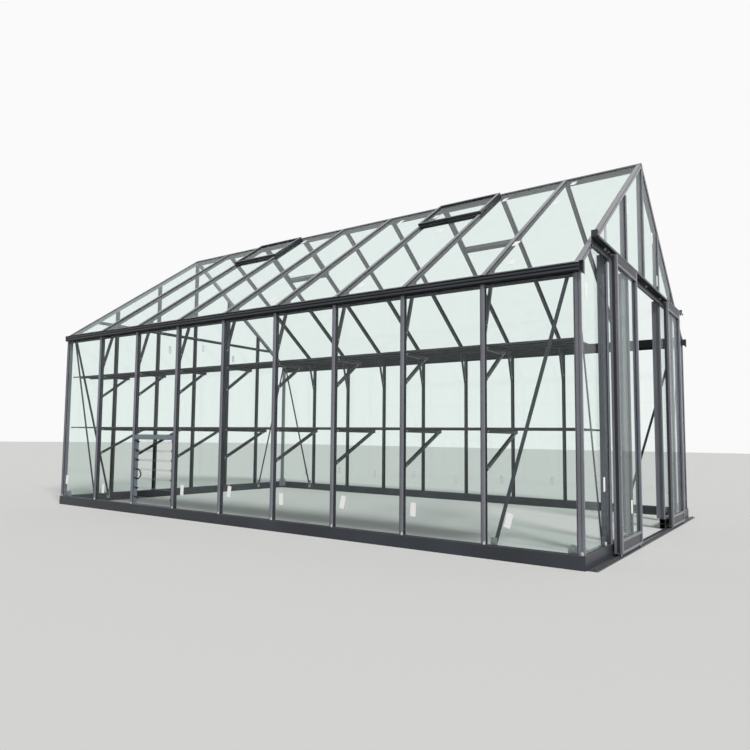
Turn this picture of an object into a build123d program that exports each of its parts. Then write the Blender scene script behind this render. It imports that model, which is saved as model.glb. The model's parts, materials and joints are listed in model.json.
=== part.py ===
from build123d import *
import math
import os

os.makedirs("parts", exist_ok=True)

# Glass greenhouse, millimetres, +Z up, +X towards the door gable, -Y the long front wall with the shelves
# One bay is a 610 mm sheet of glass and the bar between two sheets

# Overall size
bay = 620.0
bays_long = 9
bays_wide = 6
base_height = 90.0
gutter_underside = 1815.0
gutter_lip_rise = 57.0
roof_seat_rise = 53.0
roof_pitch = 34.5

# Glass and glazing bar section, shared by posts, roof bars and transoms
glass_thickness = 4.0
glass_seal = 0.3
edge_gap = 1.0
cap_thickness = 3.0
cap_half_width = 16.0
spine_half_width = 4.0
seat_thickness = 3.0
web_half_width = 2.5
lip_half_width = 11.0
lip_thickness = 4.0
bar_depth = 36.0
seat_offset = 10.0

# Grooves along the corner section, beside its two caps
corner_groove_depth = 5.0
gable_groove_width = 11.0
front_groove_width = 5.0
front_groove_inset = 9.6
front_groove_depth = 4.0

# Base beam, a hollow section with two chambers
base_width = 46.0
base_proud = 8.0
base_wall = 3.0
base_bevel = 5.0

# Gutter and eave beam
gutter_width = 27.0
gutter_wall = 3.0
gutter_floor_drop = 9.0
gutter_bevel = 7.0
gutter_lip_width = 10.0
gutter_lip_depth = 4.0
gutter_recess_depth = 4.0
gutter_recess_height = 8.0
gutter_rib_height = 14.0
eave_groove_depth = 2.0
eave_groove_height = 6.0
eave_groove_rises = (14.0, 34.0)
gutter_cap_thickness = 3.0
gutter_cup_reach = 27.0
gutter_cup_rise = 8.0
gutter_cup_drop = 23.0
gutter_cup_cut = 30.0
gutter_cup_wall = 2.5
gutter_cup_depth = 22.0
roof_glass_overhang = 6.0

# Ridge beam
ridge_half_width = 12.0
ridge_depth = 60.0
ridge_wing_reach = 34.0
ridge_wing_gap = 0.5

# Gable transoms and the door gear
transom_rise = 275.0
least_pane_height = 40.0
jamb_box_half_width = 9.0
jamb_box_depth = 18.0
header_drop = 60.0
header_rise = 17.0
header_plate_thickness = 4.0
header_spare_reach = 370.0
header_ledge_reach = 22.0
header_ledge_thickness = 4.0
hood_reach = 50.0
hood_thickness = 4.0
hood_lip_depth = 12.0
hood_bead_radius = 4.0
hood_flange_place = 26.0
hood_flange_drop = 14.0
hood_end_reach = 41.0
hood_end_height = 41.0
hood_end_length = 20.0
hood_end_wall = 3.0
fit_gap = 0.3

# Sliding door leaves
leaf_overlap = 8.0
leaf_thickness = 34.0
leaf_standoff = 36.0
leaf_ground_gap = 25.0
leaf_top_gap = 40.0
leaf_meeting_gap = 5.0
stile_width = 34.0
leaf_top_rail = 70.0
leaf_tail_strip_depth = 16.0
leaf_tail_strip_width = 22.0
leaf_tail_strip_clearance = 8.0
kick_height = 95.0
kick_recess = 7.0
leaf_groove_depth = 8.0
roller_radius = 12.0
roller_width = 8.0
roller_axle_radius = 3.0
roller_inset = 60.0
track_width = 66.0
track_plate = 4.0
track_fin_height = 16.0
track_fin_half = 1.5
shoe_length = 40.0
shoe_wall = 4.0
shoe_gap = 1.0

# Roof vents, each over one bay
vent_bay_indices = (2, 6)
vent_length = 560.0
vent_frame_width = 28.0
vent_frame_height = 26.0
vent_side_overlap = 12.0
vent_groove_depth = 8.0
vent_lift = 0.3
vent_sill_width = 20.0
vent_sill_depth = 18.0

# Louvre window
louvre_bay_index = 2
louvre_top = 777.0
louvre_head = 44.0
louvre_sill = 14.0
louvre_jamb = 12.0
louvre_frame_depth = 44.0
louvre_blades = 7
louvre_low_margin = 56.0
louvre_high_margin = 21.0
blade_depth = 100.0
blade_tilt = 75.0
clip_size = 12.0
clip_thickness = 8.0
clip_length = 60.0
lever_length = 84.0
lever_rise = 250.0
lever_thickness = 9.0
lever_bow = 26.0
lever_boss = 12.0

# Shelves on the front wall
slat_width = 100.0
slat_gap = 12.0
slat_height = 12.0
slat_wall = 2.0
lower_slats = 5
upper_slats = 3
lower_shelf_drop = 960.0
upper_shelf_drop = 398.0
lower_foot_drop = 295.0
upper_foot_drop = 252.0
arm_height = 25.0
arm_width = 20.0
strut_width = 22.0
shelf_back_gap = 10.0
shelf_end_gap = 12.0

# Braces
knee_foot_drop = 295.0
knee_lean = 17.5
knee_width = 24.0
knee_thickness = 20.0
brace_width = 24.0
brace_thickness = 5.0
brace_top_inset = 47.0
brace_foot_inset = 56.0
brace_end_rise = 75.0
brace_end_drop = 20.0
plate_thickness = 4.0
corner_plate_reach = 88.0
corner_plate_drop = 66.0
corner_plate_rise = 54.0
corner_plate_hole_radius = 7.0
corner_plate_hole_rise = 30.0
foot_plate_width = 44.0
foot_plate_drop = 60.0
foot_plate_rise = 46.0

# Worked out from the sizes above
slot = glass_thickness + 2 * glass_seal
cap_face = slot + cap_thickness
outer_face = seat_offset + cap_face
inner_face = bar_depth - seat_offset
base_face = outer_face + base_proud
half_length = bays_long * bay / 2
half_width = bays_wide * bay / 2
pitch = math.radians(roof_pitch)
rise = math.tan(pitch)
far_reach = base_face
door_reach = base_face + track_width
middle_x = (far_reach - door_reach) / 2
glass_edge = spine_half_width + edge_gap
gutter_lip_height = gutter_underside + gutter_lip_rise
roof_seat_height = gutter_underside + roof_seat_rise
apex_seat = roof_seat_height + (half_width + outer_face) * rise
transom_height = gutter_underside + transom_rise
header_bottom = transom_height - header_drop
header_top = transom_height + header_rise
lower_shelf_top = gutter_underside - lower_shelf_drop
upper_shelf_top = gutter_underside - upper_shelf_drop
lower_foot = lower_shelf_top - lower_foot_drop
upper_foot = upper_shelf_top - upper_foot_drop
knee_foot = gutter_underside - knee_foot_drop


def grid_x(k):
    return middle_x - half_length + k * bay


def grid_y(j):
    return -half_width + j * bay


def seat_height_at(y):
    """Height of the roof's glass seat above the ground, at a distance y from the ridge line."""
    return apex_seat - abs(y) * rise


def below_seat(y, depth):
    """Height of the line that lies a perpendicular depth under the roof's seat."""
    return seat_height_at(y) - depth / math.cos(pitch)


def save(name, solids):
    found = []
    for solid in solids:
        found.extend(solid.solids())
    export_step(Compound(found), f"parts/{name}.step")


def rectangle(u_low, u_high, v_low, v_high):
    return Pos((u_low + u_high) / 2, (v_low + v_high) / 2) * Rectangle(u_high - u_low, v_high - v_low)


def block(x_low, x_high, y_low, y_high, z_low, z_high):
    middle = Pos((x_low + x_high) / 2, (y_low + y_high) / 2, (z_low + z_high) / 2)
    return middle * Box(x_high - x_low, y_high - y_low, z_high - z_low)


def front_and_back(solids):
    return list(solids) + [mirror(solid, about=Plane.XZ) for solid in solids]


# Sections, drawn with u across the bar and v from the glass seat inwards
def bar_cap_section():
    cap = rectangle(-cap_half_width, cap_half_width, -cap_face, -slot)
    spine = rectangle(-spine_half_width, spine_half_width, -slot, 0)
    return cap + spine


def bar_body_section():
    seat = rectangle(-cap_half_width, cap_half_width, 0, seat_thickness)
    web = rectangle(-web_half_width, web_half_width, seat_thickness, bar_depth - lip_thickness)
    lip = rectangle(-lip_half_width, lip_half_width, bar_depth - lip_thickness, bar_depth)
    return seat + web + lip


def corner_section():
    """Section where two glazed faces meet, u and v measured inwards from the grid lines."""
    core = rectangle(-outer_face, spine_half_width, -outer_face, spine_half_width)
    inner = rectangle(-seat_offset, inner_face, -seat_offset, inner_face)
    first_cap = rectangle(-outer_face, cap_half_width, -outer_face, -outer_face + cap_thickness)
    second_cap = rectangle(-outer_face, -outer_face + cap_thickness, -outer_face, cap_half_width)
    groove_low = -outer_face + cap_thickness
    gable_groove = rectangle(
        -outer_face, -outer_face + corner_groove_depth, groove_low, groove_low + gable_groove_width
    )
    return core + inner + first_cap + second_cap - gable_groove


def corner_post_section():
    """The corner section with one more groove, on the face along the long wall."""
    groove_low = -outer_face + front_groove_inset
    front_groove = rectangle(
        groove_low, groove_low + front_groove_width, -outer_face, -outer_face + front_groove_depth
    )
    return corner_section() - front_groove


def wall_bar(length):
    return extrude(bar_cap_section() + bar_body_section(), length)


# Planes of the walls, with local x along the wall and local y inwards
def front_plane(k, z):
    return Plane(origin=(grid_x(k), -half_width - seat_offset, z), x_dir=(1, 0, 0), z_dir=(0, 0, 1))


def far_plane(j, z):
    origin = (grid_x(0) - seat_offset, grid_y(j), z)
    return Plane(origin=origin, x_dir=(0, -1, 0), z_dir=(0, 0, 1))


def door_plane(j, z):
    origin = (grid_x(bays_long) + seat_offset, grid_y(j), z)
    return Plane(origin=origin, x_dir=(0, 1, 0), z_dir=(0, 0, 1))


# Base beams
def base_outline():
    outer = rectangle(-base_face, base_width - base_face, 0, base_height)
    bevel = Polyline(
        (-base_face, base_height),
        (-base_face + base_bevel, base_height),
        (-base_face, base_height - base_bevel),
        close=True,
    )
    return outer - make_face(bevel)


def base_section():
    outer = base_outline()
    chamber_low = -base_face + base_wall
    chamber_high = base_width - base_face - base_wall
    middle = base_height / 2
    outer -= rectangle(chamber_low, chamber_high, base_wall, middle - base_wall / 2)
    top = base_height - base_wall - base_bevel / 2
    outer -= rectangle(chamber_low, chamber_high, middle + base_wall / 2, top)
    return outer


base_inner = base_width - base_face
long_plane = Plane(origin=(grid_x(0) - base_face, -half_width, 0), x_dir=(0, 1, 0), z_dir=(1, 0, 0))
base_length = 2 * (half_length + base_face)
base_front = extrude(long_plane * base_section(), base_length)
base_end = extrude(long_plane * base_outline(), base_wall)
base_front += base_end
base_front += Pos(base_length - base_wall, 0, 0) * base_end
save("base_front", [base_front])
save("base_back", [mirror(base_front, about=Plane.XZ)])

gable_base_end = half_width - base_inner
far_base_plane = Plane(origin=(grid_x(0), gable_base_end, 0), x_dir=(1, 0, 0), z_dir=(0, -1, 0))
base_far = extrude(far_base_plane * base_section(), 2 * gable_base_end)

door_bay_first = bays_wide // 2 - 1
door_half = (bays_wide / 2 - door_bay_first) * bay
jamb_face = door_half - cap_half_width
door_base_plane = Plane(
    origin=(grid_x(bays_long), -gable_base_end, 0), x_dir=(-1, 0, 0), z_dir=(0, 1, 0)
)
base_door = extrude(door_base_plane * base_section(), gable_base_end - jamb_face)
save("base_gables", [base_far] + front_and_back([base_door]))

# Posts
post_height = gutter_underside - base_height
post = wall_bar(post_height)
front_posts = [front_plane(k, base_height) * post for k in range(1, bays_long)]
save("front_posts", front_posts)
save("back_posts", [mirror(solid, about=Plane.XZ) for solid in front_posts])

corner_post = extrude(corner_post_section(), post_height)
near_far = Pos(grid_x(0), -half_width, base_height) * corner_post
near_door = Pos(grid_x(bays_long), -half_width, base_height) * mirror(corner_post, about=Plane.YZ)
save("corner_posts", front_and_back([near_far, near_door]))


# Roof bars: the body butts between eave beam and ridge, the cap runs on over the eave beam
def roof_cut(y_low, y_high):
    reach = half_length + outer_face
    top = apex_seat + 2 * ridge_depth
    return block(-2 * reach, 2 * reach, y_low, y_high, 0, top)


def roof_bar_from(body_section, cap_section, v_shift):
    length = (half_width + outer_face + 4 * bar_depth) / math.cos(pitch)
    start_y = -half_width - outer_face - 2 * bar_depth
    direction = (0, math.cos(pitch), math.sin(pitch))
    origin = (0, start_y, seat_height_at(start_y))
    slope = Plane(origin=origin, x_dir=(1, 0, 0), z_dir=direction)
    body = extrude(slope * (Pos(0, v_shift) * body_section), length)
    cap = extrude(slope * (Pos(0, v_shift) * cap_section), length)
    body &= roof_cut(-half_width + inner_face, -ridge_half_width)
    cap &= roof_cut(-half_width - outer_face, -ridge_wing_reach - ridge_wing_gap)
    return body + cap


roof_bar = roof_bar_from(bar_body_section(), bar_cap_section(), 0)
front_roof_bars = [Pos(grid_x(k), 0, 0) * roof_bar for k in range(1, bays_long)]
save("front_roof_bars", front_roof_bars)
save("back_roof_bars", [mirror(solid, about=Plane.XZ) for solid in front_roof_bars])

whole_corner = corner_section()
corner_upper = whole_corner & rectangle(-2 * bar_depth, 2 * bar_depth, -outer_face, -seat_offset)
corner_lower = whole_corner & rectangle(-2 * bar_depth, 2 * bar_depth, -seat_offset, 2 * bar_depth)
gable_rafter = roof_bar_from(corner_lower, corner_upper, seat_offset)
far_rafter = Pos(grid_x(0), 0, 0) * gable_rafter
door_rafter = Pos(grid_x(bays_long), 0, 0) * mirror(gable_rafter, about=Plane.YZ)
save("gable_rafters", front_and_back([far_rafter, door_rafter]))


# Gutter with its eave beam
def gutter_section():
    """Eave beam and trough in one section, with two sunk bands along the trough's outer wall."""
    slope_in = seat_height_at(half_width - inner_face)
    trough_floor = gutter_underside + gutter_floor_drop
    proud = -outer_face - gutter_width
    sunk = proud + gutter_recess_depth
    high_band = gutter_lip_height - gutter_lip_depth
    low_band = high_band - gutter_recess_height - gutter_rib_height
    outside = []
    for top in (high_band, low_band):
        bottom = top - gutter_recess_height
        outside += [(proud, top), (sunk, top), (sunk, bottom), (proud, bottom)]
    outline = Polyline(
        (inner_face, gutter_underside),
        (inner_face, slope_in),
        (-outer_face, roof_seat_height),
        (-outer_face, trough_floor),
        (proud + gutter_wall, trough_floor),
        (proud + gutter_wall, low_band - gutter_recess_height - gutter_wall),
        (sunk + gutter_wall, low_band - gutter_recess_height - gutter_wall),
        (sunk + gutter_wall, low_band + gutter_wall),
        (proud + gutter_wall, low_band + gutter_wall),
        (proud + gutter_wall, high_band - gutter_recess_height - gutter_wall),
        (sunk + gutter_wall, high_band - gutter_recess_height - gutter_wall),
        (sunk + gutter_wall, high_band),
        (proud + gutter_lip_width, high_band),
        (proud + gutter_lip_width, gutter_lip_height),
        (proud, gutter_lip_height),
        *outside,
        (proud, gutter_underside + gutter_bevel),
        (proud + gutter_bevel, gutter_underside),
        close=True,
    )
    chamber_in = inner_face - gutter_wall - eave_groove_depth
    chamber = Polyline(
        (chamber_in, gutter_underside + gutter_wall),
        (chamber_in, slope_in - 2 * gutter_wall),
        (-outer_face + gutter_wall, roof_seat_height - gutter_wall),
        (-outer_face + gutter_wall, gutter_underside + gutter_wall),
        close=True,
    )
    section = make_face(outline) - make_face(chamber)
    for groove_rise in eave_groove_rises:
        low = gutter_underside + groove_rise
        section -= rectangle(inner_face - eave_groove_depth, inner_face, low, low + eave_groove_height)
    return section


gutter_length = 2 * (half_length + outer_face)
gutter_plane = Plane(origin=(grid_x(0) - outer_face, -half_width, 0), x_dir=(0, 1, 0), z_dir=(1, 0, 0))
gutter_front = extrude(gutter_plane * gutter_section(), gutter_length)
save("gutter_front", [gutter_front])
save("gutter_back", [mirror(gutter_front, about=Plane.XZ)])


def gutter_cap_section():
    outer = -outer_face - gutter_width
    outline = Polyline(
        (inner_face, gutter_underside),
        (inner_face, seat_height_at(half_width - inner_face)),
        (-outer_face, roof_seat_height),
        (outer, gutter_lip_height),
        (outer, gutter_underside + gutter_bevel),
        (outer + gutter_bevel, gutter_underside),
        close=True,
    )
    return make_face(outline)


end_cap = extrude(gutter_plane * gutter_cap_section(), -gutter_cap_thickness)
far_cap = end_cap

# At the door gable each cap carries a hollow cup, open towards the long wall
cup_start = grid_x(bays_long) + outer_face + gutter_cap_thickness
cup_end = cup_start + gutter_cup_reach
cup_low = gutter_underside - gutter_cup_drop
cup_high = gutter_lip_height + gutter_cup_rise
cup_outline = make_face(
    Polyline(
        (cup_start, cup_high),
        (cup_end, cup_high),
        (cup_end, cup_low),
        (cup_start, cup_low + gutter_cup_cut),
        close=True,
    )
)
cup_front = -half_width - outer_face - gutter_width
cup_plane = Plane(origin=(0, cup_front, 0), x_dir=(1, 0, 0), z_dir=(0, -1, 0))
cup = extrude(cup_plane * cup_outline, -gutter_width)
cup -= extrude(cup_plane * offset(cup_outline, -gutter_cup_wall), -gutter_cup_depth)
door_cap = Pos(gutter_length + gutter_cap_thickness, 0, 0) * end_cap + cup
save("gutter_end_caps", front_and_back([far_cap, door_cap]))


# Ridge beam with its two wings over the top edge of the glass
def ridge_point(y, normal):
    return (y, seat_height_at(y) + normal / math.cos(pitch))


ridge_outline = Polyline(
    (-ridge_half_width, apex_seat - ridge_depth),
    (ridge_half_width, apex_seat - ridge_depth),
    ridge_point(ridge_half_width, slot),
    ridge_point(ridge_wing_reach, slot),
    ridge_point(ridge_wing_reach, cap_face),
    ridge_point(0, cap_face),
    ridge_point(-ridge_wing_reach, cap_face),
    ridge_point(-ridge_wing_reach, slot),
    ridge_point(-ridge_half_width, slot),
    close=True,
)
ridge_plane = Plane(origin=(grid_x(0) - outer_face, 0, 0), x_dir=(0, 1, 0), z_dir=(1, 0, 0))
save("ridge_beam", [extrude(ridge_plane * make_face(ridge_outline), gutter_length)])

# Gable posts, cut to the underside of the gable rafters


def gable_field(y_edge, depth, z_low):
    """Upright sheet under the gable rafters, as a tool to cut posts, transoms and glass to the roof."""
    outline = Polyline(
        (-y_edge, z_low),
        (y_edge, z_low),
        (y_edge, below_seat(y_edge, depth)),
        (0, below_seat(0, depth)),
        (-y_edge, below_seat(y_edge, depth)),
        close=True,
    )
    start = grid_x(0) - 2 * outer_face
    tool_plane = Plane(origin=(start, 0, 0), x_dir=(0, 1, 0), z_dir=(1, 0, 0))
    return extrude(tool_plane * make_face(outline), 2 * (half_length + 2 * outer_face))


rafter_field = gable_field(half_width - inner_face, bar_depth, 0)
ridge_clearance = block(
    -2 * half_length,
    2 * half_length,
    -ridge_half_width,
    ridge_half_width,
    apex_seat - ridge_depth,
    2 * apex_seat,
)
tall_post = wall_bar(apex_seat - base_height)
transom_top = transom_height + cap_half_width
short_post = wall_bar(apex_seat - transom_top)


def cut_to_roof(solid):
    return (solid & rafter_field) - ridge_clearance


far_posts = [cut_to_roof(far_plane(j, base_height) * tall_post) for j in range(1, bays_wide)]
save("far_gable_posts", far_posts)

# Under the header the door posts are deeper, by a box behind the bar
transom_low = transom_height - cap_half_width
jamb_box = extrude(
    rectangle(-jamb_box_half_width, jamb_box_half_width, bar_depth, bar_depth + jamb_box_depth),
    transom_low - base_height,
)
side_post = wall_bar(transom_low - base_height) + jamb_box
door_last = bays_wide - door_bay_first
door_posts = []
for j in range(1, bays_wide):
    if j in (door_bay_first, door_last):
        tall = cut_to_roof(door_plane(j, base_height) * tall_post)
        door_posts.append(tall + door_plane(j, base_height) * jamb_box)
    elif door_bay_first < j < door_last:
        door_posts.append(cut_to_roof(door_plane(j, transom_top) * short_post))
    else:
        door_posts.append(door_plane(j, base_height) * side_post)
save("door_gable_posts", door_posts)


# Transoms, lengths of glazing bar laid across between the gable posts and the rafters
def under_roof(j_low, j_high, height):
    """True where the rafters leave room for a bar or a pane between two grid lines at this height."""
    nearest = 0 if grid_y(j_low) * grid_y(j_high) < 0 else min(abs(grid_y(j_low)), abs(grid_y(j_high)))
    return height + least_pane_height < below_seat(nearest, bar_depth)


def far_transom(j):
    origin = (grid_x(0) - seat_offset, grid_y(j) + cap_half_width, transom_height)
    plane = Plane(origin=origin, x_dir=(0, 0, 1), z_dir=(0, 1, 0))
    return (plane * wall_bar(bay - 2 * cap_half_width)) & rafter_field


def door_transom(j_low, j_high):
    origin = (grid_x(bays_long) + seat_offset, grid_y(j_high) - cap_half_width, transom_height)
    plane = Plane(origin=origin, x_dir=(0, 0, 1), z_dir=(0, -1, 0))
    return (plane * wall_bar((j_high - j_low) * bay - 2 * cap_half_width)) & rafter_field


door_spans = ((0, door_bay_first), (door_bay_first, door_last), (door_last, bays_wide))
far_transoms = [far_transom(j) for j in range(bays_wide) if under_roof(j, j + 1, transom_height)]
door_transoms = [door_transom(*span) for span in door_spans if under_roof(*span, transom_height)]
save("far_gable_transom", far_transoms)
save("door_gable_transom", door_transoms)


# Wall glass
def pane(u_low, u_high, z_low, z_high, plane):
    """One sheet in a wall, u measured along the wall from the plane's origin."""
    sheet = block(u_low, u_high, -glass_seal - glass_thickness, -glass_seal, z_low, z_high)
    return plane * sheet


glass_top = gutter_underside - edge_gap
front_glass = []
back_glass = []
for k in range(bays_long):
    low = louvre_top + edge_gap if k == louvre_bay_index else base_height
    front_glass.append(pane(glass_edge, bay - glass_edge, low, glass_top, front_plane(k, 0)))
    back_sheet = pane(glass_edge, bay - glass_edge, base_height, glass_top, front_plane(k, 0))
    back_glass.append(mirror(back_sheet, about=Plane.XZ))
save("front_glass", front_glass)
save("back_glass", back_glass)

# Gable glass, cut to the slope inside the rafter's slot and notched round the end of the eave beam
gable_slot_depth = spine_half_width + seat_offset + edge_gap
glass_field = gable_field(half_width - glass_edge, gable_slot_depth, 0)
eave_notch_face = half_width - inner_face - edge_gap
eave_notch = block(
    -2 * half_length, 2 * half_length, -half_width, -eave_notch_face, glass_top, 2 * apex_seat
)
eave_notches = front_and_back([eave_notch])
ridge_notch = block(
    -2 * half_length,
    2 * half_length,
    -ridge_half_width - edge_gap,
    ridge_half_width + edge_gap,
    apex_seat - ridge_depth - edge_gap,
    2 * apex_seat,
)


def trim_gable(solid):
    solid = (solid & glass_field) - ridge_notch
    for notch in eave_notches:
        solid -= notch
    return solid


lower_top = transom_height - glass_edge
upper_low = transom_height + glass_edge
upper_door_spans = ((0, door_bay_first),)
upper_door_spans += tuple((j, j + 1) for j in range(door_bay_first, door_last))
upper_door_spans += ((door_last, bays_wide),)
lower_door_bays = [j for j in range(bays_wide) if not door_bay_first <= j < door_last]
far_glass = []
for j in range(bays_wide):
    far_wall = far_plane(j + 1, 0)
    far_glass.append(trim_gable(pane(glass_edge, bay - glass_edge, base_height, lower_top, far_wall)))
    if under_roof(j, j + 1, upper_low):
        far_glass.append(trim_gable(pane(glass_edge, bay - glass_edge, upper_low, apex_seat, far_wall)))
door_glass = []
for j in lower_door_bays:
    door_wall = door_plane(j, 0)
    door_glass.append(trim_gable(pane(glass_edge, bay - glass_edge, base_height, lower_top, door_wall)))
for j_low, j_high in upper_door_spans:
    if under_roof(j_low, j_high, upper_low):
        door_wall = door_plane(j_low, 0)
        width = (j_high - j_low) * bay
        door_glass.append(trim_gable(pane(glass_edge, width - glass_edge, upper_low, apex_seat, door_wall)))
save("far_gable_glass", far_glass)
save("door_gable_glass", door_glass)

# Roof glass: y is the distance from the ridge line
roof_glass_top = ridge_half_width + edge_gap
roof_glass_low = half_width + outer_face + roof_glass_overhang
slope_plane = Plane(
    origin=(0, 0, apex_seat),
    x_dir=(1, 0, 0),
    z_dir=(0, -math.sin(pitch), math.cos(pitch)),
)


def slope_block(x_low, x_high, far_y, near_y, normal_low, normal_high):
    """Slab on the front slope between two plumb distances from the ridge line."""
    return slope_plane * block(
        x_low, x_high, -far_y / math.cos(pitch), -near_y / math.cos(pitch), normal_low, normal_high
    )


sheet_low = glass_seal
sheet_high = glass_seal + glass_thickness
vent_top_y = ridge_wing_reach + ridge_wing_gap
vent_low_y = vent_top_y + vent_length * math.cos(pitch)
sill_high_y = vent_low_y
sill_low_y = vent_low_y + vent_sill_width * math.cos(pitch)
front_roof_glass = []
for k in range(bays_long):
    x = grid_x(k)
    top_y = sill_low_y + edge_gap if k in vent_bay_indices else roof_glass_top
    front_roof_glass.append(
        slope_block(x + glass_edge, x + bay - glass_edge, roof_glass_low, top_y, sheet_low, sheet_high)
    )
save("front_roof_glass", front_roof_glass)
save("back_roof_glass", [mirror(solid, about=Plane.XZ) for solid in front_roof_glass])

# Vents: a glazed frame on top of the bars, hinged at the ridge, closing on a sill between the bars
vent_under = cap_face + vent_lift
vent_over = vent_under + vent_frame_height
vent_mid = vent_under + vent_frame_height / 2
vent_frames = []
vent_glass = []
vent_sills = []
for k in vent_bay_indices:
    x_low = grid_x(k) - vent_side_overlap
    x_high = grid_x(k + 1) + vent_side_overlap
    rail_y = vent_frame_width * math.cos(pitch)
    groove_y = vent_groove_depth * math.cos(pitch)
    frame = slope_block(x_low, x_high, vent_low_y, vent_top_y, vent_under, vent_over)
    frame -= slope_block(
        x_low + vent_frame_width,
        x_high - vent_frame_width,
        vent_low_y - rail_y,
        vent_top_y + rail_y,
        0,
        2 * vent_over,
    )
    inset = vent_frame_width - vent_groove_depth
    frame -= slope_block(
        x_low + inset,
        x_high - inset,
        vent_low_y - rail_y + groove_y,
        vent_top_y + rail_y - groove_y,
        vent_mid - slot / 2,
        vent_mid + slot / 2,
    )
    vent_frames.append(frame)
    edge = inset + edge_gap
    edge_y = edge * math.cos(pitch)
    vent_glass.append(
        slope_block(
            x_low + edge,
            x_high - edge,
            vent_low_y - edge_y,
            vent_top_y + edge_y,
            vent_mid - glass_thickness / 2,
            vent_mid + glass_thickness / 2,
        )
    )
    side = cap_half_width + fit_gap
    vent_sills.append(
        slope_block(
            grid_x(k) + side,
            grid_x(k + 1) - side,
            sill_low_y,
            sill_high_y - rail_y,
            -vent_sill_depth,
            cap_face,
        )
    )
save("roof_vent_frames", front_and_back(vent_frames))
save("roof_vent_glass", front_and_back(vent_glass))
save("roof_vent_sills", front_and_back(vent_sills))

# Louvre window at the foot of the front wall
louvre_left = grid_x(louvre_bay_index) + cap_half_width + fit_gap
louvre_right = louvre_left + bay - 2 * (cap_half_width + fit_gap)
louvre_out = -half_width - seat_offset - slot
louvre_in = louvre_out + louvre_frame_depth
louvre_frame = block(louvre_left, louvre_right, louvre_out, louvre_in, base_height, louvre_top)
louvre_frame -= block(
    louvre_left + louvre_jamb,
    louvre_right - louvre_jamb,
    2 * louvre_out,
    0,
    base_height + louvre_sill,
    louvre_top - louvre_head,
)
save("louvre_frame", [louvre_frame])

pivot_y = (louvre_out + louvre_in) / 2
first_blade = base_height + louvre_sill + louvre_low_margin
last_blade = louvre_top - louvre_head - louvre_high_margin
louvre_pitch = (last_blade - first_blade) / (louvre_blades - 1)
clips = []
blades = []
for number in range(louvre_blades):
    z = first_blade + number * louvre_pitch
    turn = Pos(0, pivot_y, z) * Rot(blade_tilt, 0, 0)
    left_end = louvre_left + louvre_jamb
    right_end = louvre_right - louvre_jamb
    for side, inward in ((left_end, 1), (right_end, -1)):
        near = side + inward * fit_gap
        far = near + inward * clip_thickness
        low, high = min(near, far), max(near, far)
        clip = block(low, high, -clip_size / 2, clip_size / 2, -clip_length / 2, clip_length / 2)
        slot_cut = block(2 * left_end, -2 * left_end, -slot / 2, slot / 2, -clip_length, clip_length)
        if inward > 0:
            keep = block(low, low + clip_thickness / 2, -clip_size, clip_size, -clip_length, clip_length)
        else:
            keep = block(high - clip_thickness / 2, high, -clip_size, clip_size, -clip_length, clip_length)
        clips.append(turn * ((clip - slot_cut) + (clip & keep)))
    blade_low = left_end + fit_gap + clip_thickness / 2 + glass_seal
    blade_high = right_end - fit_gap - clip_thickness / 2 - glass_seal
    blade = block(
        blade_low, blade_high, -glass_thickness / 2, glass_thickness / 2, -blade_depth / 2, blade_depth / 2
    )
    blades.append(turn * blade)

# The lever, a bowed handle on the room side of the left jamb
lever_low = base_height + lever_rise
lever_high = lever_low + lever_length
bow_in = louvre_in + lever_boss
lever_middle = (lever_low + lever_high) / 2
inner_curve = ThreePointArc((bow_in, lever_low), (bow_in + lever_bow, lever_middle), (bow_in, lever_high))
outer_curve = ThreePointArc(
    (bow_in, lever_high + lever_thickness),
    (bow_in + lever_bow + lever_thickness, lever_middle),
    (bow_in, lever_low - lever_thickness),
)
lever_edges = [
    inner_curve,
    Line(inner_curve @ 1, outer_curve @ 0),
    outer_curve,
    Line(outer_curve @ 1, inner_curve @ 0),
]
lever_plane = Plane(origin=(louvre_left, 0, 0), x_dir=(0, 1, 0), z_dir=(1, 0, 0))
lever = extrude(lever_plane * make_face(lever_edges), lever_thickness)
lever += block(
    louvre_left,
    louvre_left + lever_thickness,
    louvre_in,
    bow_in,
    lever_low - lever_thickness,
    lever_low,
)
save("louvre_clips", clips + [lever])
save("louvre_blades", blades)

# Shelves of folded slats on brackets, one bracket to a post
inner_y = -half_width + inner_face


def slat(y_low, z_top):
    outline = Polyline(
        (y_low, z_top),
        (y_low + slat_width, z_top),
        (y_low + slat_width, z_top - slat_height),
        (y_low + slat_width - slat_wall, z_top - slat_height),
        (y_low + slat_width - slat_wall, z_top - slat_wall),
        (y_low + slat_wall, z_top - slat_wall),
        (y_low + slat_wall, z_top - slat_height),
        (y_low, z_top - slat_height),
        close=True,
    )
    start = grid_x(0) + inner_face + shelf_end_gap
    length = bays_long * bay - 2 * (inner_face + shelf_end_gap)
    slat_plane = Plane(origin=(start, 0, 0), x_dir=(0, 1, 0), z_dir=(1, 0, 0))
    return extrude(slat_plane * make_face(outline), length)


def shelf(count, z_top):
    first = inner_y + shelf_back_gap
    return [slat(first + number * (slat_width + slat_gap), z_top) for number in range(count)]


def side_plane(k):
    return Plane(origin=(grid_x(k) - arm_width / 2, 0, 0), x_dir=(0, 1, 0), z_dir=(1, 0, 0))


def shelf_reach(count):
    return shelf_back_gap + count * slat_width + (count - 1) * slat_gap


def arm(k, count, z_top):
    high = z_top - slat_height
    outline = rectangle(inner_y, inner_y + shelf_reach(count), high - arm_height, high)
    return extrude(side_plane(k) * outline, arm_width)


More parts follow.
